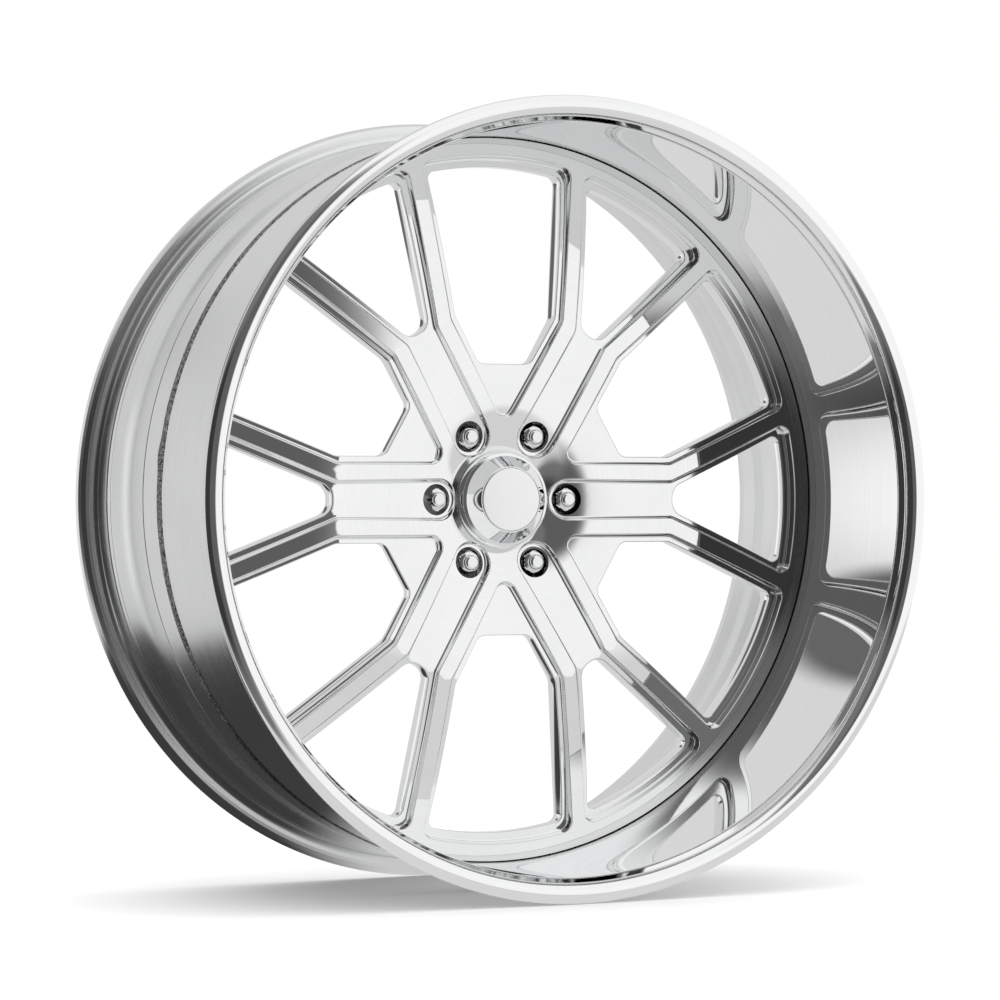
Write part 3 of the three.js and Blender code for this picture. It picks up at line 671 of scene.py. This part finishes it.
def flange_section(side):
    """The rolled flange from the edge of the lip round to the tyre face."""
    middle = (LIP_EDGE + FLANGE_RADIUS) / 2
    half = (FLANGE_RADIUS - LIP_EDGE) / 2
    crown = FLANGE_CIRCLE + 5.0
    steps = 32
    found = []
    for k in range(steps + 1):
        a = math.pi * (1 - k / steps)
        foot = FLANGE_CIRCLE - FLANGE_FOOT if k < steps / 2 else FLANGE_CIRCLE
        found.append((middle + half * math.cos(a), side * (foot + (crown - foot) * math.sin(a))))
    curl = [(FLANGE_RADIUS - 0.6, FLANGE_CIRCLE - 4.2), (FLANGE_RADIUS - 2.6, FLANGE_CIRCLE - 7.6),
            (FLANGE_RADIUS - 6.0, FLANGE_CIRCLE - 10.2), (FLANGE_RADIUS - 9.5, TYRE_FACE + 0.2)]
    found += [(r, side * y) for r, y in curl]
    corner, steps = 6.0, 8
    for k in range(steps + 1):
        a = math.pi / 2 * k / steps
        found.append((SEAT_RADIUS + corner - corner * math.sin(a),
                      side * (TYRE_FACE - corner + corner * math.cos(a))))
    return found


def hump(side):
    """The low rounded hump that keeps the tyre's bead on its seat."""
    start, width, height, drop, steps = TYRE_FACE - 20.0, 9.0, 0.7, 0.4, 12
    found = [(SEAT_INNER, side * start)]
    for k in range(1, steps):
        t = k / steps
        found.append((SEAT_INNER + height * math.sin(math.pi * t) ** 2 - drop * t,
                      side * (start - width * t)))
    return found


def outer_barrel():
    """Bore, flared lip, flange, seat and cylinder, polished as far as the flange's largest circle."""
    section = fillet([(BORE_RADIUS, BUTT - 0.15), (BORE_RADIUS + 1.0, -FLANGE_CIRCLE + 9.0, 5.0),
                      (LIP_EDGE, -FLANGE_CIRCLE + FLANGE_FOOT)], 10)
    section += flange_section(-1)[1:] + hump(-1)
    section += [(CYLINDER_RADIUS + 0.6, -TYRE_FACE + 30.5), (CYLINDER_RADIUS, -TYRE_FACE + 34)]
    section += [(CYLINDER_RADIUS, BUTT - 5.0), (CYLINDER_RADIUS - 0.5, BUTT - 4.0),
                (BORE_RADIUS + 1.6, BUTT - 0.15)]
    section = held(section)
    crown = next(i for i, point in enumerate(section) if point[0] > FLANGE_RADIUS - 0.5)
    slots = [0] * crown * TURN + [1] * (len(section) - crown) * TURN
    obj = make_object("outer_barrel_skin", *turned(section), [LIP, SPUN], slots)
    place(obj, "wheel", "outer_barrel")


def inner_barrel():
    """Cylinder with a groove, ledge, well, ramp, seat and flange, then the bore back to the joint."""
    section = [(BORE_RADIUS, BUTT + 0.15), (BORE_RADIUS + 1.6, BUTT + 0.15),
               (CYLINDER_RADIUS - 0.5, BUTT + 4.0), (CYLINDER_RADIUS, BUTT + 5.0), (CYLINDER_RADIUS, 39.6),
               (CYLINDER_RADIUS - 0.9, 40.5), (CYLINDER_RADIUS, 41.4), (CYLINDER_RADIUS, 42.6, 0.5),
               (WELL_RADIUS + 1.2, 45.0, 1.5), (WELL_RADIUS, 50.0, 4.0), (WELL_RADIUS, 98.0, 90.0),
               (SEAT_INNER - 0.4, 121.6, 60.0), (SEAT_INNER - 0.4, TYRE_FACE - 29.5)]
    outer = fillet(section, 12)
    bore = [(SEAT_INNER - WALL, FLANGE_CIRCLE - 16), (SEAT_INNER - WALL, 124.0, 8.0),
            (WELL_RADIUS - WALL, 98.0, 30.0), (WELL_RADIUS - WALL, 49.0, 6.0), (BORE_RADIUS, 41.0, 3.0)]
    flare = [(LIP_EDGE, FLANGE_CIRCLE - FLANGE_FOOT), (SEAT_INNER - WALL + 0.3, FLANGE_CIRCLE - 15.2)]
    whole = outer + hump(1)[::-1] + flange_section(1)[1:][::-1] + flare
    tail = fillet([whole[-1]] + bore + [(BORE_RADIUS, BUTT + 0.15)], 6)[1:-1]
    obj = make_object("inner_barrel_skin", *turned(held(whole + tail)), [SPUN])
    place(obj, "wheel", "inner_barrel")


def bead(name, node, steps, across, surface, root):
    """A weld bead all the way round: rows of points across it, closed underneath by a ring at its root."""
    angles = [j * math.tau / steps for j in range(steps)]
    rows = [[surface(a, i / across) for a in angles] for i in range(across + 1)]
    rows.append([root] * steps)
    verts = [(r * math.cos(a), y, r * math.sin(a)) for row in rows for a, (r, y) in zip(angles, row)]
    faces = []
    for i in range(len(rows)):
        a, b = i * steps, (i + 1) % len(rows) * steps
        faces += [(a + j, a + (j + 1) % steps, b + (j + 1) % steps, b + j) for j in range(steps)]
    place(make_object(name, verts, faces, [WELD], sharp=60), "wheel", node)


def barrel_weld():
    """A hand-laid bead with uneven overlapping ripples and one lump where it starts and stops."""
    rng = random.Random(SEED)
    phases = [rng.uniform(0, math.tau) for _ in range(6)]
    ripples, half_width, most = 1010, 6.6, 1.15
    lumps = [rng.uniform(0.5, 1.0) for _ in range(ripples)]
    lump_at, lump_reach = math.radians(173.2), 0.03

    def surface(a, t):
        turn = a * (ripples // 2) + 0.9 * math.sin(math.pi * t) + phases[0]
        ripple = (1 - abs(math.sin(turn))) * lumps[int(turn / math.pi) % ripples]
        wander = 0.35 * math.sin(a * 23 + phases[1]) + 0.25 * math.sin(a * 57 + phases[2])
        gap = (a - lump_at + math.pi) % math.tau - math.pi
        swell = math.exp(-(gap / lump_reach) ** 2)
        width = half_width + 0.2 * math.sin(a * 41 + phases[3]) + 1.2 * swell
        crown = min(most, 0.35 + 0.7 * ripple + 0.12 * math.sin(a * 71 + phases[4])) * (1 + 1.1 * swell)
        return (CYLINDER_RADIUS + 0.02 + crown * math.sin(math.pi * t) ** 0.6,
                BUTT + wander * 0.4 + width * (2 * t - 1) + 1.5 * swell)

    bead("barrel_weld_bead", "barrel_weld", 4 * ripples, 12, surface, (BORE_RADIUS + 2.3, BUTT))


def centre_weld():
    """The bead in the corner between the centre's ring and the barrel, behind."""
    leg, ripples = 4.2, 300

    def surface(a, t):
        rise = math.sin(math.pi * t) * 0.6
        ripple = 0.35 * math.sin(a * ripples + 1.5 * math.sin(math.pi * t))
        return (CENTRE_RADIUS - 0.2 - leg * (1 - t) - (0.5 + ripple * 0.5) * rise,
                RING_BACK + 0.4 + leg * t + (0.4 + ripple * 0.4) * rise)

    bead("centre_weld_bead", "centre_weld", 1080, 7, surface, (CENTRE_RADIUS - 0.2, RING_BACK + 0.35))


# ---------------- forged centre

# The rounded step from the face down to a pocket's floor: inset, and share of the depth.
WALL_RINGS = [(0.25, 0.02), (0.55, 0.09), (0.85, 0.21), (1.25, 0.42), (1.75, 0.66), (2.2, 0.82), (2.8, 0.93),
              (3.5, 0.985), (4.3, 1.0)]
WINDOW_EDGE = [(0.25, 0.08), (0.6, 0.35), (0.8, 0.8)]      # inset, and depth below the pocket's floor
WINDOW_REAR = [(0.8, 1.2), (0.5, 0.4), (0.0, 0.0)]         # inset, and height above the back
OUTER_STEPS, HUB_STEPS, LUG_STEPS = 480, 120, 60
FACE, SIDE, FLOOR, REAR, LUG_HOLE = range(5)                # material numbers


def turn_plane(points, angle):
    c, s = math.cos(angle), math.sin(angle)
    return points @ np.array([[c, s], [-s, c]])


def back_height(r):
    return np.interp(r, *zip(*BACK))


def pocket(build, ids, angle, outline, window, lugged):
    """A pocket down from its rim on the face, with the window through it and, on a spoke, the lug hole.
    Returns what the back needs of each hole: its last ring of points, and the same points in the plane."""
    points, normals = outline
    for offset, depth in WALL_RINGS:
        plane = points + normals * offset
        r = radius_of(plane)
        y = face_height(r) + (floor_height(r) - face_height(r)) * depth
        ids = build.ring(turn_plane(plane, angle), y, ids, SIDE)
    rim = points + normals * WALL_RINGS[-1][0]
    points, normals = window
    holes = [points]
    if lugged:
        holes.append(circle(LUG_BORE + 0.6, LUG_STEPS, (LUG_CIRCLE, 0)))
    flat, tris = fill(rim, holes, 6.0, [circle(ELBOW, ELBOW_RING)])
    extra = flat[len(rim):]
    more = build.points(turn_plane(extra, angle), floor_height(radius_of(extra)))
    ids = np.concatenate([ids, more])
    for t in tris:
        build.face(ids[t], FLOOR)
    edge = more[:len(points)]
    r = radius_of(points)
    for offset, drop in WINDOW_EDGE:
        edge = build.ring(turn_plane(points + normals * offset, angle), floor_height(r) + drop, edge, SIDE)
    for offset, rise in WINDOW_REAR:
        edge = build.ring(turn_plane(points + normals * offset, angle), back_height(r) - rise, edge, SIDE)
    ends = [(edge, turn_plane(points, angle))]
    if lugged:
        centre = LUG_CIRCLE * heading(angle)
        ring = more[len(points):len(points) + LUG_STEPS]
        for r, y in [(LUG_BORE, 2.7), (LUG_BORE, 22.2), (11.5, 22.4), (STUD_HOLE, 29.1),
                     (STUD_HOLE, PAD_PLANE - 1.0), (STUD_MOUTH, PAD_PLANE)]:
            plane = circle(r, LUG_STEPS, centre)
            ring = build.ring(plane, y, ring, LUG_HOLE)
        ends.append((ring, plane))
    return ends


def forged_centre():
    """The face with its pockets, then the outer ring and the hub bore, and last the back that closes them."""
    build = Builder()
    pockets = []
    for k in range(SPOKES):
        pockets.append((k * PITCH, SPOKE_POCKET, SPOKE_WINDOW, True))
        pockets.append(((k + 0.5) * PITCH, GAP_POCKET, GAP_WINDOW, False))
    loops = [circle(CENTRE_RADIUS - 0.8, OUTER_STEPS), circle(HUB_FACE_RADIUS, HUB_STEPS)]
    loops += [turn_plane(outline[0], angle) for angle, outline, _, _ in pockets]
    flat, tris = fill(loops[0], loops[1:], 6.0, [circle(ELBOW, ELBOW_RING)])
    ids = build.points(flat, face_height(radius_of(flat)))
    for t in tris:
        build.face(ids[t], FACE)
    outer_ids, hub_ids, *rims = np.split(ids, np.cumsum([len(loop) for loop in loops]))[:-1]

    windows, lugs = [], []
    for rim, (angle, outline, window, lugged) in zip(rims, pockets):
        ends = pocket(build, rim, angle, outline, window, lugged)
        windows.append(ends[0])
        lugs += ends[1:]

    edge = float(face_height(CENTRE_RADIUS))
    for r, y in [(CENTRE_RADIUS - 0.6, edge + 0.4), (CENTRE_RADIUS - 0.1, edge + 3.0), (CENTRE_RADIUS, 13.4),
                 (CENTRE_RADIUS, RING_BACK - 0.6), (CENTRE_RADIUS - 0.6, RING_BACK)]:
        outer = circle(r, OUTER_STEPS)
        outer_ids = build.ring(outer, y, outer_ids, REAR, flip=True)
    for r, y in [(HUB_FACE_RADIUS - 0.4, 1.3), (HUB_BORE + 0.6, 1.3), (HUB_BORE, 1.9),
                 (HUB_BORE, PAD_PLANE - 1.5), (HUB_BORE + 1.5, PAD_PLANE)]:
        hub = circle(r, HUB_STEPS)
        hub_ids = build.ring(hub, y, hub_ids, REAR)

    fixed = [(outer_ids, outer), (hub_ids, hub)] + windows + lugs
    creases = [circle(r, 240) for r in (PAD_RADIUS, SKIRT_RADIUS, ELBOW)]
    flat, tris = fill(outer, [plane for _, plane in fixed[1:]], 8.0, creases)
    extra = flat[sum(len(ring) for ring, _ in fixed):]
    more = build.points(extra, back_height(radius_of(extra)))
    ids = np.concatenate([ring for ring, _ in fixed] + [more])
    for t in tris:
        build.face(ids[t][::-1], REAR)

    obj = make_object("forged_centre_skin", build.verts, build.faces,
                      [POLISHED, POLISHED, SATIN, BACKSIDE, SOCKET], build.slots, 38)
    smooth_known(obj, build)
    place(obj, "wheel", "forged_centre")


def smooth_known(obj, build):
    """Gives the face and the pocket floors the exact normals of their turned surfaces."""
    mesh = obj.data
    normals = read(mesh.corner_normals, "vector", np.float32, 3)
    vertex = read(mesh.loops, "vertex_index", np.int32)
    starts = read(mesh.polygons, "loop_start", np.int32)
    co = np.array(build.verts)
    x, z = co[:, 0], co[:, 2]
    r = np.maximum(np.hypot(x, z), 1e-6)
    beyond_crease = 0.01
    for number, slope in ((FACE, face_slope), (FLOOR, floor_slope)):
        sides = []
        for reach in (np.minimum(r, ELBOW - beyond_crease), np.maximum(r, ELBOW + beyond_crease)):
            tilt = slope(reach)
            n = np.stack([tilt * x / r, -np.ones_like(r), tilt * z / r], 1)
            sides.append(n / np.linalg.norm(n, axis=1)[:, None])
        for start, slot in zip(starts, build.slots):
            if slot == number:
                loops = np.arange(start, start + 3)
                ids = vertex[loops]
                normals[loops] = sides[int(r[ids].mean() > ELBOW)][ids]
    mesh.normals_split_custom_set(normals.tolist())


# ---------------- lug nuts

def in_hexagon(x, z, half):
    """A point drawn in to the sides of a hexagon, given by half its width across flats."""
    a = math.atan2(z, x)
    reach = min(math.hypot(x, z), half / math.cos((a + math.pi / 6) % (math.pi / 3) - math.pi / 6))
    return reach * math.cos(a), reach * math.sin(a)


def nut(number, centre):
    """A closed lug nut: round nose, hexagon with a turned shoulder, coned seat and a hole for the stud."""
    tip, shoulder, nose, corner = -6.8, -0.3, 7.25, 12.2
    section = [(0, tip), (4.6, tip + 0.02), (5.6, tip + 0.12), (6.4, tip + 0.5), (7.0, tip + 1.3),
               (nose, tip + 2.4), (nose, shoulder - 0.8), (7.5, shoulder - 0.2), (8.2, shoulder),
               (9.6, shoulder + 0.1), (10.2, shoulder + 0.4), (11.2, shoulder + 1.1),
               (corner, shoulder + 2.2), (corner, 19.0), (11.3, 20.4), (10.4, 21.4), (7.7, 27.6),
               (6.2, 28.0), (6.2, 8.0), (0, 6.0)]
    verts, faces = turned(section, 96)
    found = []
    for x, y, z in verts:
        if y < 21:
            x, z = in_hexagon(x, z, 10.5)
        found.append((centre[0] + x, y, centre[1] + z))
    obj = make_object(f"lug_nut_{number}_finished", found, faces, [CHROME], sharp=28)
    place(obj, f"lug_nut_{number}", f"lug_nut_{number}")


# ---------------- centre cap

def centre_cap():
    """The cap's cone and skirt with grooves for its rings, the disc, the O-ring and the open snap ring."""
    top, skirt, groove = -19.8, 38.75, 37.35
    section = fillet([
        (0, top + 1.8), (30.7, top + 1.8, 0.2), (30.7, top, 0.2), (31.7, top, 0.5), (42.1, -8.3, 0.8),
        (45.3, -7.6, 0.9), (46.9, 0.7, 0.8), (46.2, 0.95, 0.2), (skirt, 0.95), (skirt, 4.9), (groove, 4.9),
        (groove, 7.5), (skirt, 7.5), (skirt, 10.9), (groove, 10.9), (groove, 13.5), (skirt, 13.5),
        (skirt, 16.8, 0.5), (34.95, 17.2, 0.4), (34.95, -5.0, 2.0), (26.5, -15.4, 2.0), (0, -15.4)], 5)
    obj = make_object("cap_body_finished", *turned(section, SMALL_TURN), [POLISHED])
    place(obj, "cap", "cap_body")

    crown, edge = 0.5, 30.4
    badge = [(0, top + 1.5), (edge, top + 1.5), (edge, top + 0.3), (edge - 0.1, top + 0.1), (edge - 0.4, top)]
    badge += [(t * edge, top - crown * (1 - t * t)) for t in (0.95, 0.9, 0.8, 0.7, 0.55, 0.4, 0.2, 0.1, 0)]
    obj = make_object("cap_badge_finished", *turned(badge, SMALL_TURN), [BADGE])
    place(obj, "cap", "cap_badge")

    ring = [(38.0 + 0.85 * math.cos(a), 6.2 + 0.95 * math.sin(a)) for a in np.arange(16) * math.tau / 16]
    obj = make_object("cap_o_ring_finished", *turned(ring, 160), [RUBBER])
    place(obj, "cap", "cap_o_ring")

    gap, steps, sides = math.radians(24), 160, 12
    verts = []
    for j in range(steps + 1):
        a = gap / 2 + (math.tau - gap) * j / steps
        for b in np.arange(sides) * math.tau / sides:
            r, y = 38.1 + 0.75 * math.cos(b), 12.2 + 0.9 * math.sin(b)
            verts.append((r * math.cos(a), y, r * math.sin(a)))
    rows = np.arange(len(verts)).reshape(-1, sides).tolist()
    faces = [tuple(rows[0]), tuple(rows[-1][::-1])]
    for a, b in zip(rows, rows[1:]):
        faces += [(a[j], b[j], b[(j + 1) % sides], a[(j + 1) % sides]) for j in range(sides)]
    obj = make_object("cap_snap_ring_finished", verts, faces, [ZINC], sharp=50)
    place(obj, "cap", "cap_snap_ring")


# ---------------- valve

VALVE_ANGLE = math.radians(12.5)
VALVE_PLACE = 72.7


def valve_piece(node, body, material, section, steps=48, shape=None, sharp=35):
    """A piece turned about the valve's own axis; places are radii from the wheel's axis."""
    verts, faces = turned(section, steps)
    found = []
    for x, y, z in verts:
        if shape:
            x, z = shape(x, y, z)
        found.append((y * math.cos(VALVE_ANGLE) - x * math.sin(VALVE_ANGLE), VALVE_PLACE + z,
                      y * math.sin(VALVE_ANGLE) + x * math.cos(VALVE_ANGLE)))
    place(make_object(f"{node}_finished", found, faces, [material], sharp=sharp), body, node)


def valve():
    """Stem with its thread, grommet, washer, nut, core, pin and dust cap, pointing at the wheel's axis."""
    tip, head = 320.5, 352.0
    turns, pitch = 22, 0.8
    thread = []
    for k in range(turns):
        y = tip + 0.4 + k * pitch
        thread += [(3.75, y), (4.0, y + 0.25), (4.0, y + 0.4), (3.75, y + 0.65)]
    stem = [(2.7, tip), (3.6, tip)] + thread
    stem += [(4.0, tip + 19), (4.0, head), (7.6, head), (8.0, head + 0.4), (8.0, head + 1.9),
             (7.2, head + 2.6), (2.7, head + 2.6)]
    valve_piece("valve_stem", "wheel", NICKEL, stem)
    valve_piece("valve_grommet", "wheel", RUBBER, fillet([
        (4.3, 345.8), (5.4, 345.8, 0.3), (5.4, 349.8, 0.3), (8.0, 349.8, 0.5), (7.8, 351.7, 0.6),
        (4.3, 351.7)], 4))
    valve_piece("valve_washer", "wheel", ZINC, fillet([
        (4.3, 343.1), (7.9, 343.1, 0.3), (7.9, 344.4, 0.3), (4.3, 344.4)], 3))

    def hexagon(x, y, z):
        return in_hexagon(x, z, 7.0)

    valve_piece("valve_nut", "wheel", ZINC, [
        (4.3, 337.8), (6.6, 337.8), (7.3, 338.1), (8.05, 338.7), (8.05, 341.9), (7.3, 342.5), (6.6, 342.8),
        (4.3, 342.8)], 96, hexagon, 28)
    valve_piece("valve_core", "wheel", BRASS, fillet([
        (1.3, 321.6), (2.3, 321.6, 0.2), (2.3, 333.4, 0.3), (1.3, 333.4)], 3))
    valve_piece("valve_pin", "valve_pin", BRASS, fillet([
        (0, 320.2), (0.85, 320.2, 0.3), (0.85, 333.8), (2.3, 333.8, 0.2), (2.3, 334.9, 0.2), (0, 334.9)], 3))

    def knurl(x, y, z):
        """Grooves down the outside of the dust cap."""
        r, a = math.hypot(x, z), math.atan2(z, x)
        if r > 4.9 and 319.5 < y < 328:
            r -= 0.22 * (0.5 + 0.5 * math.cos(a * 24))
        return r * math.cos(a), r * math.sin(a)

    valve_piece("valve_cap", "valve_cap", CHROME, fillet([
        (0, 318.2), (4.6, 318.2, 0.6), (5.25, 319.2), (5.25, 320.5), (5.25, 327.0), (5.2, 328.9, 0.3),
        (4.35, 328.9), (4.35, 319.3), (0, 319.3)], 4), 192, knurl)


# ---------------- floor, light, camera

def fading(tree, near, far, low, high):
    """The material's surface: one shader near the object's origin, turning into another farther out."""
    length = tree.nodes.new("ShaderNodeVectorMath")
    length.operation = "LENGTH"
    link(tree, object_coordinates(tree), length.inputs[0])
    mix = tree.nodes.new("ShaderNodeMixShader")
    link(tree, smooth_step(tree, length.outputs["Value"], low, high), mix.inputs[0])
    link(tree, near.outputs[0], mix.inputs[1])
    link(tree, far.outputs[0], mix.inputs[2])
    link(tree, mix.outputs[0], tree.nodes["Material Output"].inputs["Surface"])


def glow(tree, strength):
    node = tree.nodes.new("ShaderNodeEmission")
    node.inputs["Color"].default_value = (1, 1, 1, 1)
    node.inputs["Strength"].default_value = strength
    return node


def sheet(name, half, material, spot):
    """A flat square."""
    corners = [(-half, -half, 0), (half, -half, 0), (half, half, 0), (-half, half, 0)]
    mesh = bpy.data.meshes.new(name)
    mesh.from_pydata(corners, [], [(0, 1, 2, 3)])
    mesh.materials.append(material)
    obj = add_object(name, mesh)
    obj.location = spot
    return obj


def floor():
    """A pale floor that fades into the white backdrop, and that the metal doesn't mirror."""
    material, tree, shader = new_material("pale_floor")
    shader.inputs["Base Color"].default_value = (0.93, 0.93, 0.93, 1)
    shader.inputs["Roughness"].default_value = 0.9
    shader.inputs["Specular IOR Level"].default_value = 0.0
    fading(tree, shader, glow(tree, 1.0), 0.7, 1.6)
    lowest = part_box("outer_barrel")[0][2]
    obj = sheet("floor", 30.0, material, (0, 0, lowest - 0.0004))
    obj.visible_glossy = False


def band(tree, value, limits, soft):
    """How much of a value lies between two limits with soft edges, from 0 to 1."""
    low, high = limits
    return math_node(tree, "MULTIPLY", smooth_step(tree, value, low - soft, low + soft),
                     math_node(tree, "SUBTRACT", 1, smooth_step(tree, value, high - soft, high + soft)))


def panel(tree, azimuth, elevation, az, el, soft_az, soft_el):
    """How much of a direction lies in a soft-edged panel, from 0 to 1."""
    return math_node(tree, "MULTIPLY", band(tree, azimuth, az, soft_az), band(tree, elevation, el, soft_el))


def oval(tree, azimuth, elevation, centre, radii, soft):
    """How much of a direction lies in a soft-edged oval, from 0 to 1."""
    a, e = [math_node(tree, "DIVIDE", math_node(tree, "SUBTRACT", value, middle), radius)
            for value, middle, radius in zip((azimuth, elevation), centre, radii)]
    return math_node(tree, "SUBTRACT", 1, smooth_step(tree, root_of_squares(tree, a, e), 1 - soft, 1 + soft))


def blend(tree, share, a, b):
    """A number that goes from a to b as a share goes from 0 to 1."""
    node = tree.nodes.new("ShaderNodeMix")
    link(tree, share, node.inputs["Factor"])
    feed(tree, node.inputs["A"], a)
    feed(tree, node.inputs["B"], b)
    return node.outputs["Result"]


# The studio that the metal mirrors, in degrees: azimuth runs from straight in front of the wheel's
# face toward +X, and elevation from level. Each patch is painted over the ones before it: its level,
# its shape, then a panel's limits and soft edges, or an oval's centre, radii and softness.
STUDIO_LEVEL = 0.72
DOME_LEVEL = 1.3                # the even light that the floor receives
STUDIO_PATCHES = [
    (1.00, panel, (15, 128), (-9.5, 91), 2.5, 1.6),
    (0.98, panel, (-34, 128), (30, 91), 8, 8),
    (0.58, panel, (-140, -34), (52, 91), 12, 8),
    (0.18, oval, (-50, 8), (65, 46), 0.07),
    (0.04, oval, (-55, 0), (52, 27), 0.20),
    (0.12, panel, (-24, 14.5), (-9, 22), 5, 3),
    (1.05, panel, (124, 152), (-20, 20), 4, 6),
    (1.02, panel, (-148.5, -138), (-15, 15), 2, 4),
]
# Cards that stand in the studio for the metal to mirror: level, place, turn about X, half sizes. The first is
# painted shade: a dim glowing sheet on the floor that stands for the floor in the wheel's shadow.
STUDIO_CARDS_AND_PAINTED_SHADE = [
    # painted shade: dim sheet on the floor beside and behind the wheel, mirrored as the shaded floor in the
    # lower barrel
    (0.05, (-0.42, 0.35, -0.3745), 0, (0.42, 0.50)),
    (0.14, (-0.30, 1.00, 0.35), 90, (0.25, 0.20)),
]


def card(number, level, spot, turn, half):
    """A soft-edged oval card that glows at its level and that only mirrored rays meet; a dim one on the floor
    paints the wheel's shadow on the floor into the metal's reflections.
    """
    name = f"studio_card_{number}"
    material, tree, shader = new_material(name)
    tree.nodes.remove(shader)
    fading(tree, glow(tree, level), tree.nodes.new("ShaderNodeBsdfTransparent"), 0.7, 1.0)
    obj = sheet(name, 1, material, spot)
    obj.rotation_euler = (math.radians(turn), 0, 0)
    obj.scale = (*half, 1)
    obj.visible_camera = False
    obj.visible_diffuse = False
    obj.visible_transmission = False
    obj.visible_shadow = False


def world():
    """What a direction shows: the studio to mirrored rays, plain white to the camera and to diffuse light."""
    scene = bpy.context.scene
    scene.world = bpy.data.worlds.new("studio")
    scene.world.use_nodes = True
    tree = scene.world.node_tree
    background = tree.nodes["Background"]
    coord = tree.nodes.new("ShaderNodeTexCoord")
    split = tree.nodes.new("ShaderNodeSeparateXYZ")
    link(tree, coord.outputs["Generated"], split.inputs[0])
    x, y, z = split.outputs
    turn = math_node(tree, "ARCTAN2", x, math_node(tree, "MULTIPLY", y, -1))
    azimuth = math_node(tree, "MULTIPLY", turn, 180 / math.pi)
    elevation = math_node(tree, "MULTIPLY", math_node(tree, "ARCSINE", z), 180 / math.pi)
    value = STUDIO_LEVEL
    for level, shape, *extent in STUDIO_PATCHES:
        value = blend(tree, shape(tree, azimuth, elevation, *extent), value, level)
    path = tree.nodes.new("ShaderNodeLightPath").outputs
    plain = math_node(tree, "MAXIMUM", path["Is Camera Ray"], path["Is Diffuse Ray"])
    white = ramp(tree, path["Is Diffuse Ray"], 1.0, DOME_LEVEL, (0, 1))
    link(tree, blend(tree, plain, value, white), background.inputs["Strength"])
    background.inputs["Color"].default_value = (1, 1, 1, 1)


def lights():
    """A soft box overhead, for the shadow under the wheel."""
    lamp = bpy.data.lights.new("overhead_softbox", "AREA")
    lamp.shape = "RECTANGLE"
    lamp.size, lamp.size_y = 3.0, 2.4
    lamp.energy = 20
    obj = add_object("overhead_softbox", lamp)
    obj.location = (-0.1, -0.5, 2.4)
    obj.visible_glossy = False


# The camera fitted to the photograph: focal length in pixels, frame in pixels, and place in metres.
FOCAL_LENGTH, FRAME_WIDTH, SENSOR = 4058.36, 1000, 36.0
CAMERA_PLACE = (-1.7345, -3.51149, -0.0004)
CAMERA_AIM = (0.44245, 0.89680, 0.0)
CAMERA_ROLL = math.radians(-0.088)


def camera():
    data = bpy.data.cameras.new("camera")
    data.sensor_width = SENSOR
    data.lens = FOCAL_LENGTH * SENSOR / FRAME_WIDTH
    data.clip_end = 100
    obj = add_object("camera", data)
    forward = Vector(CAMERA_AIM).normalized()
    right = forward.cross(Vector((0, 0, 1))).normalized()
    up = right.cross(forward)
    rolled_right = right * math.cos(CAMERA_ROLL) + up * math.sin(CAMERA_ROLL)
    rolled_up = up * math.cos(CAMERA_ROLL) - right * math.sin(CAMERA_ROLL)
    matrix = Matrix((rolled_right, rolled_up, -forward)).transposed().to_4x4()
    matrix.translation = Vector(CAMERA_PLACE)
    obj.matrix_world = matrix
    bpy.context.scene.camera = obj


camera()
floor()
world()
for number, settings in enumerate(STUDIO_CARDS_AND_PAINTED_SHADE):
    card(number + 1, *settings)
lights()
bpy.context.scene.view_settings.view_transform = "Standard"

outer_barrel()
inner_barrel()
barrel_weld()
centre_weld()
forged_centre()
for number in range(SPOKES):
    nut(number + 1, LUG_CIRCLE * heading(number * PITCH))
centre_cap()
valve()
